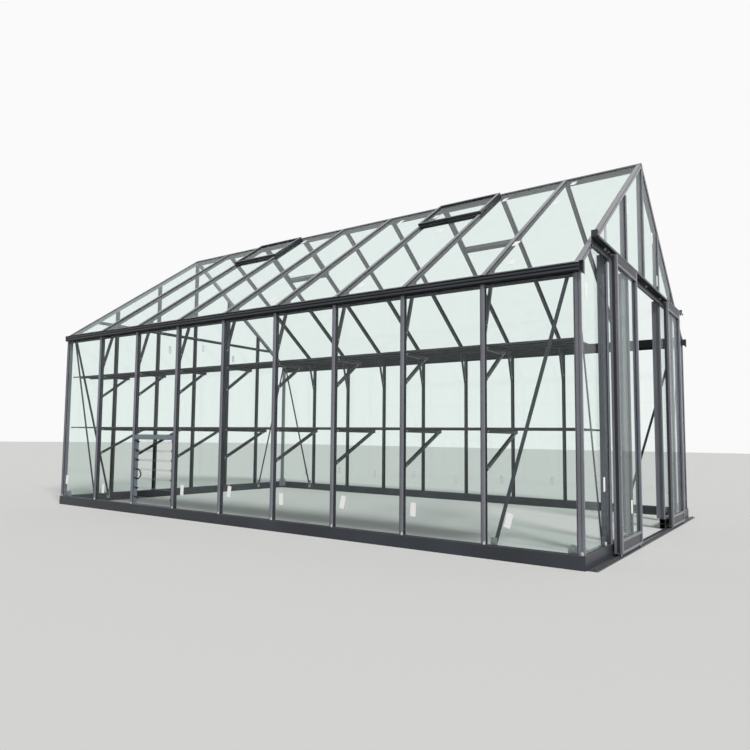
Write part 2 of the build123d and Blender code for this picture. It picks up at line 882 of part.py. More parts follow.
def strut(k, count, z_top, foot):
    """Slanting stay from the post up to the underside of the arm, near the arm's tip."""
    arm_low = z_top - slat_height - arm_height
    run = shelf_reach(count) - strut_width
    drop = arm_low - foot
    upright = strut_width * math.hypot(run, drop) / run
    outline = Polyline(
        (inner_y, foot),
        (inner_y, foot + upright),
        (inner_y + run - upright * run / drop, arm_low),
        (inner_y + run, arm_low),
        close=True,
    )
    return extrude(side_plane(k) * make_face(outline), arm_width)


save("lower_shelf_slats", shelf(lower_slats, lower_shelf_top))
save("upper_shelf_slats", shelf(upper_slats, upper_shelf_top))
arms = []
struts = []
for k in range(1, bays_long):
    arms.append(arm(k, lower_slats, lower_shelf_top))
    arms.append(arm(k, upper_slats, upper_shelf_top))
    struts.append(strut(k, lower_slats, lower_shelf_top, lower_foot))
    struts.append(strut(k, upper_slats, upper_shelf_top, upper_foot))
save("shelf_arms", arms)
save("shelf_struts", struts)

# Knee braces from post to roof bar
lean = math.radians(knee_lean)


def meet_rafter(y, z):
    """Where a line leaning inwards from (y, z) meets the underside of the roof bars."""
    gap = below_seat(y, bar_depth) - z
    run = gap * math.tan(lean) / (1 - rise * math.tan(lean))
    return (y + run, z + run / math.tan(lean))


knee_end = knee_width / math.sin(lean)
knee_low = knee_foot - knee_end / 2
knee_high = knee_foot + knee_end / 2
knee_outline = Polyline(
    (inner_y, knee_low),
    (inner_y, knee_high),
    meet_rafter(inner_y, knee_high),
    meet_rafter(inner_y, knee_low),
    close=True,
)
knee_plane = Plane(origin=(-knee_thickness / 2, 0, 0), x_dir=(0, 1, 0), z_dir=(1, 0, 0))
knee = extrude(knee_plane * make_face(knee_outline), knee_thickness)
save("knee_braces", front_and_back([Pos(grid_x(k), 0, 0) * knee for k in range(1, bays_long)]))

# Flat diagonal braces inside each corner, from the eave to the foot of the next post
brace_top = gutter_underside + brace_end_rise
brace_low = base_height - brace_end_drop
brace_run = bay - brace_top_inset - brace_foot_inset
brace_span = brace_top - brace_low
brace_slope = math.hypot(brace_run, brace_span) / brace_span
brace_half = brace_width * brace_slope / 2


def brace_face():
    """Outline with u from the corner along the wall and v up."""
    outline = Polyline(
        (brace_top_inset - brace_half, brace_top),
        (brace_top_inset + brace_half, brace_top),
        (brace_top_inset + brace_run + brace_half, brace_low),
        (brace_top_inset + brace_run - brace_half, brace_low),
        close=True,
    )
    return make_face(outline)


braces = []
for x, direction in ((grid_x(0), 1), (grid_x(bays_long), -1)):
    front_inside = Plane(origin=(x, inner_y, 0), x_dir=(direction, 0, 0), z_dir=(0, -direction, 0))
    gable_inside = Plane(
        origin=(x + direction * inner_face, -half_width, 0), x_dir=(0, 1, 0), z_dir=(1, 0, 0)
    )
    braces.append(extrude(front_inside * brace_face(), -direction * brace_thickness))
    braces.append(extrude(gable_inside * brace_face(), direction * brace_thickness))
save("corner_braces", front_and_back(braces))

# Plates at the foot of each brace and in the corners of the base, on the inner face of the base beams
def upright_plate(points, plane, thickness):
    return extrude(plane * make_face(Polyline(*points, close=True)), thickness)


foot_u = brace_top_inset + brace_run
foot_points = (
    (foot_u - foot_plate_width / 2, base_height - foot_plate_drop),
    (foot_u + foot_plate_width / 2, base_height - foot_plate_drop),
    (foot_u + foot_plate_width / 2, base_height + foot_plate_rise),
    (foot_u - foot_plate_width / 2, base_height + foot_plate_rise),
)


def corner_plate(u_start):
    """Plate on the base beam's inner face that rises beside the corner post, rounded above, with a hole."""
    u_beside = inner_face + fit_gap
    round_radius = (corner_plate_reach - u_beside) / 2
    round_u = u_beside + round_radius
    round_height = base_height + corner_plate_rise - round_radius
    plate = rectangle(u_start, corner_plate_reach, base_height - corner_plate_drop, base_height)
    plate += rectangle(u_beside, corner_plate_reach, base_height, round_height)
    plate += Pos(round_u, round_height) * Circle(round_radius)
    return plate - Pos(round_u, base_height + corner_plate_hole_rise) * Circle(corner_plate_hole_radius)


corner_u = base_inner + plate_thickness + fit_gap
plates = []
for x, direction in ((grid_x(0), 1), (grid_x(bays_long), -1)):
    along_front = Plane(
        origin=(x, base_inner - half_width, 0), x_dir=(direction, 0, 0), z_dir=(0, -direction, 0)
    )
    along_gable = Plane(
        origin=(x + direction * base_inner, -half_width, 0), x_dir=(0, 1, 0), z_dir=(1, 0, 0)
    )
    foot_thickness = inner_face - base_inner
    plates.append(upright_plate(foot_points, along_front, -direction * foot_thickness))
    plates.append(upright_plate(foot_points, along_gable, direction * foot_thickness))
    plates.append(extrude(along_front * corner_plate(base_inner), -direction * plate_thickness))
    plates.append(extrude(along_gable * corner_plate(corner_u), direction * plate_thickness))
save("base_plates", front_and_back(plates))

# Door header: a plate and running ledge fixed to the posts, under a folded hood
door_face_x = grid_x(bays_long) + outer_face
header_y = door_half + bay + header_spare_reach
header = block(
    door_face_x,
    door_face_x + header_plate_thickness,
    -header_y,
    header_y,
    header_bottom,
    header_top - hood_thickness,
)
ledge = block(
    door_face_x,
    door_face_x + header_ledge_reach,
    -header_y,
    header_y,
    header_bottom,
    header_bottom + header_ledge_thickness,
)
save("door_header", [header + ledge])
hood_low = header_top - hood_thickness
flange_x = door_face_x + hood_flange_place
hood_edge = door_face_x + hood_reach
hood = block(door_face_x, hood_edge, -header_y, header_y, hood_low, header_top)
lip_low = header_top - hood_lip_depth
hood += block(hood_edge - hood_thickness, hood_edge, -header_y, header_y, lip_low, header_top)
hood += block(flange_x, flange_x + hood_thickness, -header_y, header_y, hood_low - hood_flange_drop, hood_low)
bead_place = Pos(hood_edge - hood_bead_radius, header_y, lip_low)
hood += bead_place * Rot(90, 0, 0) * Cylinder(
    hood_bead_radius, 2 * header_y, align=(Align.CENTER, Align.CENTER, Align.MIN)
)

# A hollow end piece stands on each end of the hood
for end in (-header_y, header_y - hood_end_length):
    end_box = block(
        door_face_x,
        door_face_x + hood_end_reach,
        end,
        end + hood_end_length,
        header_top,
        header_top + hood_end_height,
    )
    end_box -= block(
        door_face_x,
        door_face_x + hood_end_reach - hood_end_wall,
        end + hood_end_wall,
        end + hood_end_length - hood_end_wall,
        header_top,
        header_top + hood_end_height - hood_end_wall,
    )
    hood += end_box
save("door_hood", [hood])

# Ground track with its guide fin
base_outer_x = grid_x(bays_long) + base_face
leaf_inner_x = door_face_x + leaf_standoff
leaf_outer_x = leaf_inner_x + leaf_thickness
leaf_mid_x = (leaf_inner_x + leaf_outer_x) / 2
track_outline = Polyline(
    (base_outer_x, 0),
    (base_outer_x, track_fin_height),
    (base_outer_x + track_plate, track_fin_height),
    (base_outer_x + track_plate, track_plate),
    (leaf_mid_x - track_fin_half, track_plate),
    (leaf_mid_x - track_fin_half, track_fin_height),
    (leaf_mid_x + track_fin_half, track_fin_height),
    (leaf_mid_x + track_fin_half, track_plate),
    (base_outer_x + track_width - track_plate, track_plate),
    (base_outer_x + track_width, 0),
    close=True,
)
track_plane = Plane(origin=(0, half_width, 0), x_dir=(1, 0, 0), z_dir=(0, -1, 0))
track = extrude(track_plane * make_face(track_outline), 2 * half_width)
save("door_track", [track])

# Leaves, modelled at the front one's parked place
leaf_width = bay + leaf_overlap
leaf_lead = -bay - leaf_meeting_gap / 2
leaf_tail = leaf_lead - leaf_width
leaf_low = leaf_ground_gap
leaf_high = header_top - hood_thickness - leaf_top_gap
pane_low = leaf_low + kick_height
pane_high = leaf_high - leaf_top_rail
leaf = block(leaf_inner_x, leaf_outer_x, leaf_tail, leaf_lead, leaf_low, leaf_high)
leaf -= block(
    leaf_inner_x - leaf_thickness,
    leaf_outer_x + leaf_thickness,
    leaf_tail + stile_width,
    leaf_lead - stile_width,
    pane_low,
    pane_high,
)
leaf -= block(
    leaf_mid_x - slot / 2,
    leaf_mid_x + slot / 2,
    leaf_tail + stile_width - leaf_groove_depth,
    leaf_lead - stile_width + leaf_groove_depth,
    pane_low - leaf_groove_depth,
    pane_high + leaf_groove_depth,
)
leaf += block(
    leaf_inner_x - leaf_tail_strip_depth,
    leaf_inner_x,
    leaf_tail,
    leaf_tail + leaf_tail_strip_width,
    leaf_low,
    header_bottom - leaf_tail_strip_clearance,
)
kick_rim = stile_width / 2
for side_x in (leaf_outer_x - kick_recess, leaf_inner_x):
    leaf -= block(
        side_x,
        side_x + kick_recess,
        leaf_tail + stile_width,
        leaf_lead - stile_width,
        leaf_low + kick_rim,
        pane_low - kick_rim,
    )
glass_inset = stile_width - leaf_groove_depth + edge_gap
leaf_glass = block(
    leaf_mid_x - glass_thickness / 2,
    leaf_mid_x + glass_thickness / 2,
    leaf_tail + glass_inset,
    leaf_lead - glass_inset,
    pane_low - leaf_groove_depth + edge_gap,
    pane_high + leaf_groove_depth - edge_gap,
)

# Rollers on the header's ledge, and guide shoes astride the fin of the track
ledge_top = header_bottom + header_ledge_thickness
roller_z = ledge_top + fit_gap + roller_radius
roller_x = door_face_x + header_plate_thickness + edge_gap + roller_width / 2
runners = []
for y in (leaf_tail + roller_inset, leaf_lead - roller_inset):
    wheel = Pos(roller_x, y, roller_z) * Rot(0, 90, 0) * Cylinder(roller_radius, roller_width)
    axle_length = leaf_inner_x - roller_x
    axle_middle = Pos(roller_x + axle_length / 2, y, roller_z)
    axle = axle_middle * Rot(0, 90, 0) * Cylinder(roller_axle_radius, axle_length)
    runners.append(wheel + axle)
for y in (leaf_tail + shoe_length / 2, leaf_lead - shoe_length / 2):
    half = track_fin_half + shoe_gap
    shoe = block(
        leaf_mid_x - half - shoe_wall,
        leaf_mid_x + half + shoe_wall,
        y - shoe_length / 2,
        y + shoe_length / 2,
        track_plate + shoe_gap,
        leaf_low,
    )
    shoe -= block(
        leaf_mid_x - half, leaf_mid_x + half, y - shoe_length, y + shoe_length, 0, track_fin_height + shoe_gap
    )
    runners.append(shoe)

for name, solids in (("door_leaf", [leaf]), ("door_glass", [leaf_glass]), ("door_runners", runners)):
    save(f"{name}_front", solids)
    save(f"{name}_back", [mirror(solid, about=Plane.XZ) for solid in solids])
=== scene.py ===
# %% [markdown]
# Glass greenhouse: the dressed model
#
# The real object is a garden greenhouse of black powder-coated aluminium bars and clear glass, with two
# sliding doors in one gable, shelves along one wall, vents in the roof and a louvre window low in the wall.
# Its bars, panes and doors come from the CAD frame, at their real sizes in metres. This file gives each of
# them its finish, and adds the small parts that are too fine for the CAD model: rubber beads, bolts, clips,
# labels and brushes. A part that repeats hundreds of times is made once and spread by Geometry Nodes, so
# that its size is one number in one place.

import json
import math

import bmesh
import bpy
from mathutils import Matrix, Vector


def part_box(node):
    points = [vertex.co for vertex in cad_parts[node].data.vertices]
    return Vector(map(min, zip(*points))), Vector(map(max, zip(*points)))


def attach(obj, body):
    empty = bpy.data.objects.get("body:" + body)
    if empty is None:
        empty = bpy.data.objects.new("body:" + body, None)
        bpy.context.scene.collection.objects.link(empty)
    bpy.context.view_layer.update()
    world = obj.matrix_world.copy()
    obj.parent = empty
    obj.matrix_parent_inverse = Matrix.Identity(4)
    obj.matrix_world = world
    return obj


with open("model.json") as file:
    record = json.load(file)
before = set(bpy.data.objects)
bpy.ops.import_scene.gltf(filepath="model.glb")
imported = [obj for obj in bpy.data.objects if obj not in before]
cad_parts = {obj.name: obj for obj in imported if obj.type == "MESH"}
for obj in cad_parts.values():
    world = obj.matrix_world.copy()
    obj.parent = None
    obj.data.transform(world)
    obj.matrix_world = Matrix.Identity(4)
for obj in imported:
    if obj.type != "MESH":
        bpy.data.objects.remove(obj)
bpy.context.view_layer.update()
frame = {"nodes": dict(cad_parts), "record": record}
nodes = frame["nodes"]
collection = bpy.context.scene.collection
MM = 0.001
print("CAD nodes:", len(nodes))

# %% [markdown]
# Colours are written as the hex values that a paint chart or a colour picker gives, which are sRGB.
# Blender's shaders work in linear light, so one function turns each value once.
# A second function adds a node with its settings and its links, so that a material or a geometry tree reads
# as a short recipe. Two more start and end a material, and the last one puts an object into the scene.


# %% Colour and node helpers
def linear(hex_value):
    """sRGB hex such as "#2B2D31" to a linear colour with alpha 1."""
    parts = [int(hex_value[i : i + 2], 16) / 255 for i in (1, 3, 5)]
    return tuple(p / 12.92 if p <= 0.04045 else ((p + 0.055) / 1.055) ** 2.4 for p in parts) + (1.0,)


def add(tree, kind, inputs=None, **settings):
    """Adds a node. An input takes a value, another node's output, or a node for its first output."""
    node = tree.nodes.new(kind)
    for name, value in settings.items():
        setattr(node, name, value)
    for name, value in (inputs or {}).items():
        if isinstance(value, bpy.types.Node):
            value = value.outputs[0]
        if isinstance(value, bpy.types.NodeSocket):
            tree.links.new(value, node.inputs[name])
        else:
            node.inputs[name].default_value = value
    return node


def new_material(name):
    material = bpy.data.materials.new(name)
    material.use_nodes = True
    material.node_tree.nodes.clear()
    return material, material.node_tree


def close_material(tree, colour, clouds, roughness, relief, metallic=0.0, mirror=0.5):
    """Ends a material. roughness is (least, most), and relief is (texture, strength, depth)."""
    rough = add(tree, "ShaderNodeMapRange", {"Value": clouds, "To Min": roughness[0], "To Max": roughness[1]})
    bump = add(tree, "ShaderNodeBump", {"Height": relief[0], "Strength": relief[1], "Distance": relief[2]})
    values = {"Base Color": colour, "Metallic": metallic, "Specular IOR Level": mirror}
    values |= {"Roughness": rough, "Normal": bump}
    shader = add(tree, "ShaderNodeBsdfPrincipled", values)
    add(tree, "ShaderNodeOutputMaterial", {"Surface": shader})


def new_object(name, data):
    thing = bpy.data.objects.new(name, data)
    collection.objects.link(thing)
    return thing


print("satin black in linear light:", [round(c, 4) for c in linear("#26282C")[:3]])

# %% [markdown]
# Powder coat is a paint that is sprayed on as dry powder and baked. In the shade it looks nearly black, and
# where the sky shines on the rounded outer caps its satin skin turns a light lilac grey. So the caps, the
# door leaves, the gable rafters, the corner posts and the door gable's posts get a paler, smoother copy of
# the coat, with painted sky light in its colour. The rest of each bar has the deep black coat, and the
# shelves a deeper one, which the doors' top rails also take as painted shade under the hood. The gutters hang
# in the shade of the roof's edge, so they get the darkest copy, with painted shade in its colour, and it
# mirrors least.
# Three things make each coat look real: a faint cloudiness from handling, a fine orange peel in the gloss,
# and pale dust that lies only on faces that look upwards. The dust's share comes from the surface normal's
# Z, which is 1 on a level top and 0 on a wall.
# The peel's real grain is about 1 mm, too fine for this picture, so it is drawn at 8 mm.
# All patterns use Object coordinates, so they stay where they are when a door slides.


# %% Powder coat on the aluminium
peel_grain = 8 * MM
dust_grain = 30 * MM


def powder_coat(name, base, cloudy, dust, roughness, cloud_size, mirror=0.5):
    material, tree = new_material(name)
    place = add(tree, "ShaderNodeTexCoord").outputs["Object"]
    cloud = add(tree, "ShaderNodeTexNoise", {"Vector": place, "Scale": 1 / cloud_size, "Detail": 4.0})
    peel = add(tree, "ShaderNodeTexNoise", {"Vector": place, "Scale": 1 / peel_grain, "Detail": 2.0})
    specks = add(tree, "ShaderNodeTexNoise", {"Vector": place, "Scale": 1 / dust_grain, "Detail": 5.0})
    share = add(tree, "ShaderNodeMapRange", {"Value": cloud, "From Min": 0.40, "From Max": 0.72})
    skin = add(tree, "ShaderNodeMix", {0: share, 6: linear(base), 7: linear(cloudy)}, data_type="RGBA")
    normal = add(tree, "ShaderNodeNewGeometry").outputs["Normal"]
    up = add(tree, "ShaderNodeSeparateXYZ", {0: normal}).outputs["Z"]
    level = add(tree, "ShaderNodeMapRange", {"Value": up, "From Min": 0.3, "From Max": 1.0, "To Max": 0.5})
    lying = add(tree, "ShaderNodeMath", {0: level, 1: specks}, operation="MULTIPLY")
    colour = add(tree, "ShaderNodeMix", {0: lying, 6: skin.outputs[2], 7: linear(dust)}, data_type="RGBA")
    relief = peel, 0.08, 0.6 * MM
    gloss = roughness - 0.07, roughness + 0.12
    close_material(tree, colour.outputs[2], cloud, gloss, relief, mirror=mirror)
    return material


frame_coat = powder_coat("satin black powder coat", "#23272E", "#2F343C", "#74726D", 0.38, 0.5)
# A paler copy of the black coat, with painted sky light in its colour.
painted_light_coat = powder_coat("satin black powder coat with painted sky light", "#6A6B74", "#787982", "#A3A19B", 0.24, 0.5)
# The shelves' coat. The doors' top rails also take it as painted shade under the hood.
shelf_and_painted_shade_coat = powder_coat("satin black powder coat with dust", "#202229", "#2C2E35", "#6B6964", 0.46, 0.3)
# A darker copy of the black coat, with the painted shade of the roof's edge in its colour.
painted_shade_coat = powder_coat("satin black powder coat with painted shade", "#101217", "#191C22", "#5B5A56", 0.42, 0.4, 0.2)

# %% [markdown]
# Float glass is nearly invisible: it takes a little green from the light and mirrors a few percent of it,
# more at a glancing angle. A pane is a slab with two faces, and each face is a mix of a clear shader and a
# mirror. The mirror's share grows with the fifth power of Layer Weight's Facing, which is Schlick's rule.
# The Fresnel node would turn the back faces into full mirrors, because a clear shader doesn't bend the light
# on its way in.
# A clear shader lets lamps through, so the panes throw almost no shadow, as real ones do.
# Rain leaves a thin film of dust in streaks that run down the pane, so the film's noise is stretched along
# Z.


# %% Clear glass
def clear_glass(name, tint, film, least_mirror, most_mirror):
    material, tree = new_material(name)
    place = add(tree, "ShaderNodeTexCoord").outputs["Object"]
    runs = add(tree, "ShaderNodeMapping", {"Vector": place, "Scale": (1.0, 1.0, 0.22)})
    streaks = add(tree, "ShaderNodeTexNoise", {"Vector": runs, "Scale": 9.0, "Detail": 5.0})
    film_range = {"From Min": 0.40, "From Max": 0.80, "To Max": film}
    dust = add(tree, "ShaderNodeMapRange", {"Value": streaks} | film_range)
    clear = add(tree, "ShaderNodeBsdfTransparent", {"Color": linear(tint)})
    mirror = add(tree, "ShaderNodeBsdfGlossy", {"Color": linear("#F4F8FA"), "Roughness": 0.02})
    powder = add(tree, "ShaderNodeBsdfDiffuse", {"Color": linear("#C9CCC6")})
    facing = add(tree, "ShaderNodeLayerWeight", {"Blend": 0.5}).outputs["Facing"]
    steep = add(tree, "ShaderNodeMath", {0: facing, 1: 5.0}, operation="POWER")
    shine = add(tree, "ShaderNodeMapRange", {"Value": steep, "To Min": least_mirror, "To Max": most_mirror})
    glass = add(tree, "ShaderNodeMixShader", {0: shine, 1: clear, 2: mirror})
    dusty = add(tree, "ShaderNodeMixShader", {0: dust, 1: glass, 2: powder})
    add(tree, "ShaderNodeOutputMaterial", {"Surface": dusty})
    return material


pane_glass = clear_glass("clear float glass", "#F9FCFB", 0.012, 0.02, 0.3)
blade_glass = clear_glass("clean float glass with ground edges", "#FBFDFC", 0.0, 0.01, 0.2)

# %% [markdown]
# The other finishes are simpler: a base colour with a second tone clouded into it, and a gloss that wanders
# a little. Zinc plate is a metal, so its colour is its reflection. Nylon, rubber and label film are not.
# The grain is the size of the clouds: 20 mm on plated steel, 30 mm on moulded plastic, as handling marks
# are.
# Each CAD node names the slot that its finish goes in.


# %% Plain metals, plastics, rubber and film
def plain_finish(name, base, second, roughness, metallic, grain):
    material, tree = new_material(name)
    place = add(tree, "ShaderNodeTexCoord").outputs["Object"]
    cloud = add(tree, "ShaderNodeTexNoise", {"Vector": place, "Scale": 1 / grain, "Detail": 3.0})
    colour = add(tree, "ShaderNodeMix", {0: cloud, 6: linear(base), 7: linear(second)}, data_type="RGBA")
    relief = cloud, 0.05, 0.3 * MM
    gloss = roughness - 0.08, roughness + 0.08
    close_material(tree, colour.outputs[2], cloud, gloss, relief, metallic)
    return material


louvre_metal = plain_finish("grey-blue painted aluminium", "#69737D", "#77818B", 0.38, 0.3, 50 * MM)
plate_metal = plain_finish("zinc-plated steel", "#8E9195", "#A8AAAD", 0.42, 0.7, 20 * MM)
bolt_metal = plain_finish("bright zinc-plated steel bolts", "#B4B7BA", "#C8CACC", 0.34, 0.75, 12 * MM)
black_plastic = plain_finish("moulded black nylon", "#151617", "#1D1E20", 0.5, 0.0, 30 * MM)
white_plastic = plain_finish("moulded white nylon", "#D6D7D4", "#E4E4E0", 0.45, 0.0, 30 * MM)
rubber = plain_finish("extruded black rubber bead", "#1B1C1E", "#26272A", 0.62, 0.0, 25 * MM)
bristle = plain_finish("black nylon pile", "#17181A", "#222326", 0.75, 0.0, 6 * MM)
label_film = plain_finish("white label film", "#F0F0EE", "#F8F8F6", 0.55, 0.0, 40 * MM)

finish_of_slot = {
    "black_powder_coat": frame_coat,
    "shelf_powder_coat": shelf_and_painted_shade_coat,
    "clear_glass": pane_glass,
    "grey_blue_aluminium": louvre_metal,
    "galvanised_plate": plate_metal,
    "black_plastic": black_plastic,
}
for entry in frame["record"]["subparts"]:
    cad_mesh = nodes[entry["node"]].data
    cad_mesh.materials.clear()
    cad_mesh.materials.append(finish_of_slot[entry["material_slot"]])
nodes["louvre_blades"].data.materials[0] = blade_glass
# These CAD parts take the coat with painted sky light in place of the plain black one.
for node_name in ("door_leaf_front", "door_leaf_back", "gable_rafters", "corner_posts", "door_gable_posts"):
    nodes[node_name].data.materials[0] = painted_light_coat
# The gutters take the coat with painted shade.
for node_name in ("gutter_front", "gutter_back"):
    nodes[node_name].data.materials[0] = painted_shade_coat
print("finishes on CAD nodes:", len({node.data.materials[0].name for node in nodes.values()}))

# %% [markdown]
# The small parts sit on the bars and panes, so their places are read from the CAD model. One node often
# holds many like pieces, such as the eight front posts. Its mesh is loose triangles, so a copy is merged
# first, and then each group of joined faces is one piece. A piece is kept as the list of its corner points.


# %% The separate pieces of a node
def pieces_of(node_name):
    copy = bmesh.new()
    copy.from_mesh(nodes[node_name].data)
    bmesh.ops.remove_doubles(copy, verts=copy.verts, dist=0.01 * MM)
    seen = set()
    groups = []
    for first in copy.verts:
        if first in seen:
            continue
        seen.add(first)
        waiting, group = [first], []
        while waiting:
            vert = waiting.pop()
            group.append(vert.co.copy())
            for edge in vert.link_edges:
                other = edge.other_vert(vert)
                if other not in seen:
                    seen.add(other)
                    waiting.append(other)
        groups.append(group)
    copy.free()
    return sorted(groups, key=lambda points: tuple(round(c, 4) for c in box_of(points)[0]))


def box_of(points):
    """The lowest and the highest corner of a list of points."""
    low = Vector([min(point[axis] for point in points) for axis in range(3)])
    high = Vector([max(point[axis] for point in points) for axis in range(3)])
    return low, high


def boxes_of(node_name):
    return [box_of(points) for points in pieces_of(node_name)]


def ends_of(points, inset):
    """Two points on the middle line of a straight bar, an inset in from its ends."""
    middle = sum(points, Vector()) / len(points)
    farthest = max(points, key=lambda point: (point - middle).length)
    line = (farthest - middle).normalized()
    ordered = sorted(points, key=lambda point: (point - middle).dot(line))
    half = len(ordered) // 2
    first = sum(ordered[:half], Vector()) / half
    last = sum(ordered[half:], Vector()) / (len(ordered) - half)
    line = (last - first).normalized()
    return first + line * inset, last - line * inset


bays_long, bays_wide = 9, 6
front_posts = boxes_of("front_posts")
bay = front_posts[1][0].x - front_posts[0][0].x
grid_x = [(front_posts[0][0].x + front_posts[0][1].x) / 2 + bay * (k - 1) for k in range(bays_long + 1)]
gable_posts = boxes_of("far_gable_posts")
grid_y = [(gable_posts[0][0].y + gable_posts[0][1].y) / 2 + bay * (j - 1) for j in range(bays_wide + 1)]
wall_face = -front_posts[0][0].y
glass_face = -boxes_of("front_glass")[0][0].y
sill_z = front_posts[0][0].z
eave_z = front_posts[0][1].z
print("bay in metres:", round(bay, 3), "long wall from", round(grid_x[0], 3), "to", round(grid_x[-1], 3))

# %% [markdown]
# Geometry Nodes work like a small factory: a few points or lines go in, and finished parts come out. Each
# tree here has named inputs for its sizes, and ends in Realize Instances and Set Material, because an
# exported model keeps only real faces. The result is then turned to a plain mesh and the modifier is taken
# off.
# The first tree sweeps a round profile along lines. It makes the rubber beads, the header's rounded edge and
# the knuckles of the vents' hinges.


# %% A tree that sweeps a bead along lines
def new_tree(name, sockets):
    tree = bpy.data.node_groups.new(name, "GeometryNodeTree")
    tree.interface.new_socket("Geometry", in_out="INPUT", socket_type="NodeSocketGeometry")
    for label, kind in sockets:
        tree.interface.new_socket(label, in_out="INPUT", socket_type=kind)
    tree.interface.new_socket("Geometry", in_out="OUTPUT", socket_type="NodeSocketGeometry")
    return tree, add(tree, "NodeGroupInput").outputs


def close_tree(tree, geometry, material_socket):
    real = add(tree, "GeometryNodeRealizeInstances", {"Geometry": geometry})
    painted = add(tree, "GeometryNodeSetMaterial", {"Geometry": real, "Material": material_socket})
    add(tree, "NodeGroupOutput", {"Geometry": painted})


bead_tree, given = new_tree(
    "sweep a bead",
    [("Radius", "NodeSocketFloat"), ("Sides", "NodeSocketInt"), ("Material", "NodeSocketMaterial")],
)
line = add(bead_tree, "GeometryNodeMeshToCurve", {"Mesh": given["Geometry"]})
circle = {"Resolution": given["Sides"], "Radius": given["Radius"]}
ring = add(bead_tree, "GeometryNodeCurvePrimitiveCircle", circle)
swept = add(bead_tree, "GeometryNodeCurveToMesh", {"Curve": line, "Profile Curve": ring, "Fill Caps": True})
close_tree(bead_tree, swept, given["Material"])


def bead_sizes(radius, sides=6, material=rubber):
    """Values for the bead tree. The radius is in metres."""
    return {"Radius": radius, "Sides": sides, "Material": material}


print("bead tree nodes:", len(bead_tree.nodes))

# %% [markdown]
# The second tree sets a bolt on every point: a round washer with a head on it. Each point carries the
# direction its bolt looks in, as an attribute called facing, and Align Rotation to Vector turns the bolt's Z
# to it. The washer is sunk to half its thickness, so that it never hangs off a face, and the head starts
# just inside its top, narrowing to its crown. A head with six sides is a hexagon bolt, and one with twelve
# and little height is a rivet or a pan-head screw.

# %% A tree that sets bolts on points
crown_share, seat_share = 0.78, 0.45
bolt_measures = "Washer Radius", "Washer Thickness", "Head Radius", "Head Height"
bolt_sockets = [(label, "NodeSocketFloat") for label in bolt_measures]
bolt_sockets += [("Head Sides", "NodeSocketInt"), ("Material", "NodeSocketMaterial")]
bolt_tree, given = new_tree("set bolts", bolt_sockets)
washer = add(
    bolt_tree,
    "GeometryNodeMeshCylinder",
    {"Vertices": 12, "Radius": given["Washer Radius"], "Depth": given["Washer Thickness"]},
)
crown = add(bolt_tree, "ShaderNodeMath", {0: given["Head Radius"], 1: crown_share}, operation="MULTIPLY")
cone = {"Vertices": given["Head Sides"], "Radius Bottom": given["Head Radius"], "Radius Top": crown}
head = add(bolt_tree, "GeometryNodeMeshCone", cone | {"Depth": given["Head Height"]})
seat = {0: given["Washer Thickness"], 1: seat_share}
on_washer = add(bolt_tree, "ShaderNodeMath", seat, operation="MULTIPLY")
raise_head = add(bolt_tree, "ShaderNodeCombineXYZ", {"Z": on_washer})
lifted = add(bolt_tree, "GeometryNodeTransform", {"Geometry": head, "Translation": raise_head})
both = add(bolt_tree, "GeometryNodeJoinGeometry")
bolt_tree.links.new(washer.outputs["Mesh"], both.inputs[0])
bolt_tree.links.new(lifted.outputs[0], both.inputs[0])
facing = add(bolt_tree, "GeometryNodeInputNamedAttribute", {"Name": "facing"}, data_type="FLOAT_VECTOR")
turn_to = add(bolt_tree, "FunctionNodeAlignRotationToVector", {"Vector": facing}, axis="Z")
spread = add(
    bolt_tree,
    "GeometryNodeInstanceOnPoints",
    {"Points": given["Geometry"], "Instance": both, "Rotation": turn_to},
)
close_tree(bolt_tree, spread, given["Material"])


def bolt_sizes(washer, head, sides, material):
    """Values for the bolt tree. washer is (radius, thickness) and head (radius, height), in millimetres."""
    return {
        "Washer Radius": washer[0] * MM,
        "Washer Thickness": washer[1] * MM,
        "Head Radius": head[0] * MM,
        "Head Height": head[1] * MM,
        "Head Sides": sides,
        "Material": material,
    }


print("bolt tree nodes:", len(bolt_tree.nodes))

# %% [markdown]
# The third tree makes a brush seal: short tufts at an even spacing along a line, each leaning a little its
# own way. The lean comes from Random Value with a fixed seed, so the brush is the same each time.

# %% A tree that grows bristles along lines
brush_tree, given = new_tree(
    "grow bristles",
    [
        ("Spacing", "NodeSocketFloat"),
        ("Length", "NodeSocketFloat"),
        ("Tuft Radius", "NodeSocketFloat"),
        ("Direction", "NodeSocketVector"),
        ("Lean", "NodeSocketFloat"),
        ("Seed", "NodeSocketInt"),
        ("Material", "NodeSocketMaterial"),
    ],
)
line = add(brush_tree, "GeometryNodeMeshToCurve", {"Mesh": given["Geometry"]})
spacing = {"Curve": line, "Length": given["Spacing"]}
steps = add(brush_tree, "GeometryNodeCurveToPoints", spacing, mode="LENGTH")
tuft = add(
    brush_tree,
    "GeometryNodeMeshCone",
    {"Vertices": 4, "Radius Bottom": given["Tuft Radius"], "Radius Top": 0.4 * MM, "Depth": given["Length"]},
)
low_lean = add(brush_tree, "ShaderNodeMath", {0: given["Lean"], 1: -1.0}, operation="MULTIPLY")
lean_low = add(brush_tree, "ShaderNodeCombineXYZ", {"X": low_lean, "Y": low_lean, "Z": low_lean})
high_lean = given["Lean"]
lean_high = add(brush_tree, "ShaderNodeCombineXYZ", {"X": high_lean, "Y": high_lean, "Z": high_lean})
least_most = {0: lean_low, 1: lean_high, "Seed": given["Seed"]}
wander = add(brush_tree, "FunctionNodeRandomValue", least_most, data_type="FLOAT_VECTOR")
way = add(brush_tree, "ShaderNodeVectorMath", {0: given["Direction"], 1: wander}, operation="ADD")
turned = add(brush_tree, "FunctionNodeAlignRotationToVector", {"Vector": way}, axis="Z")
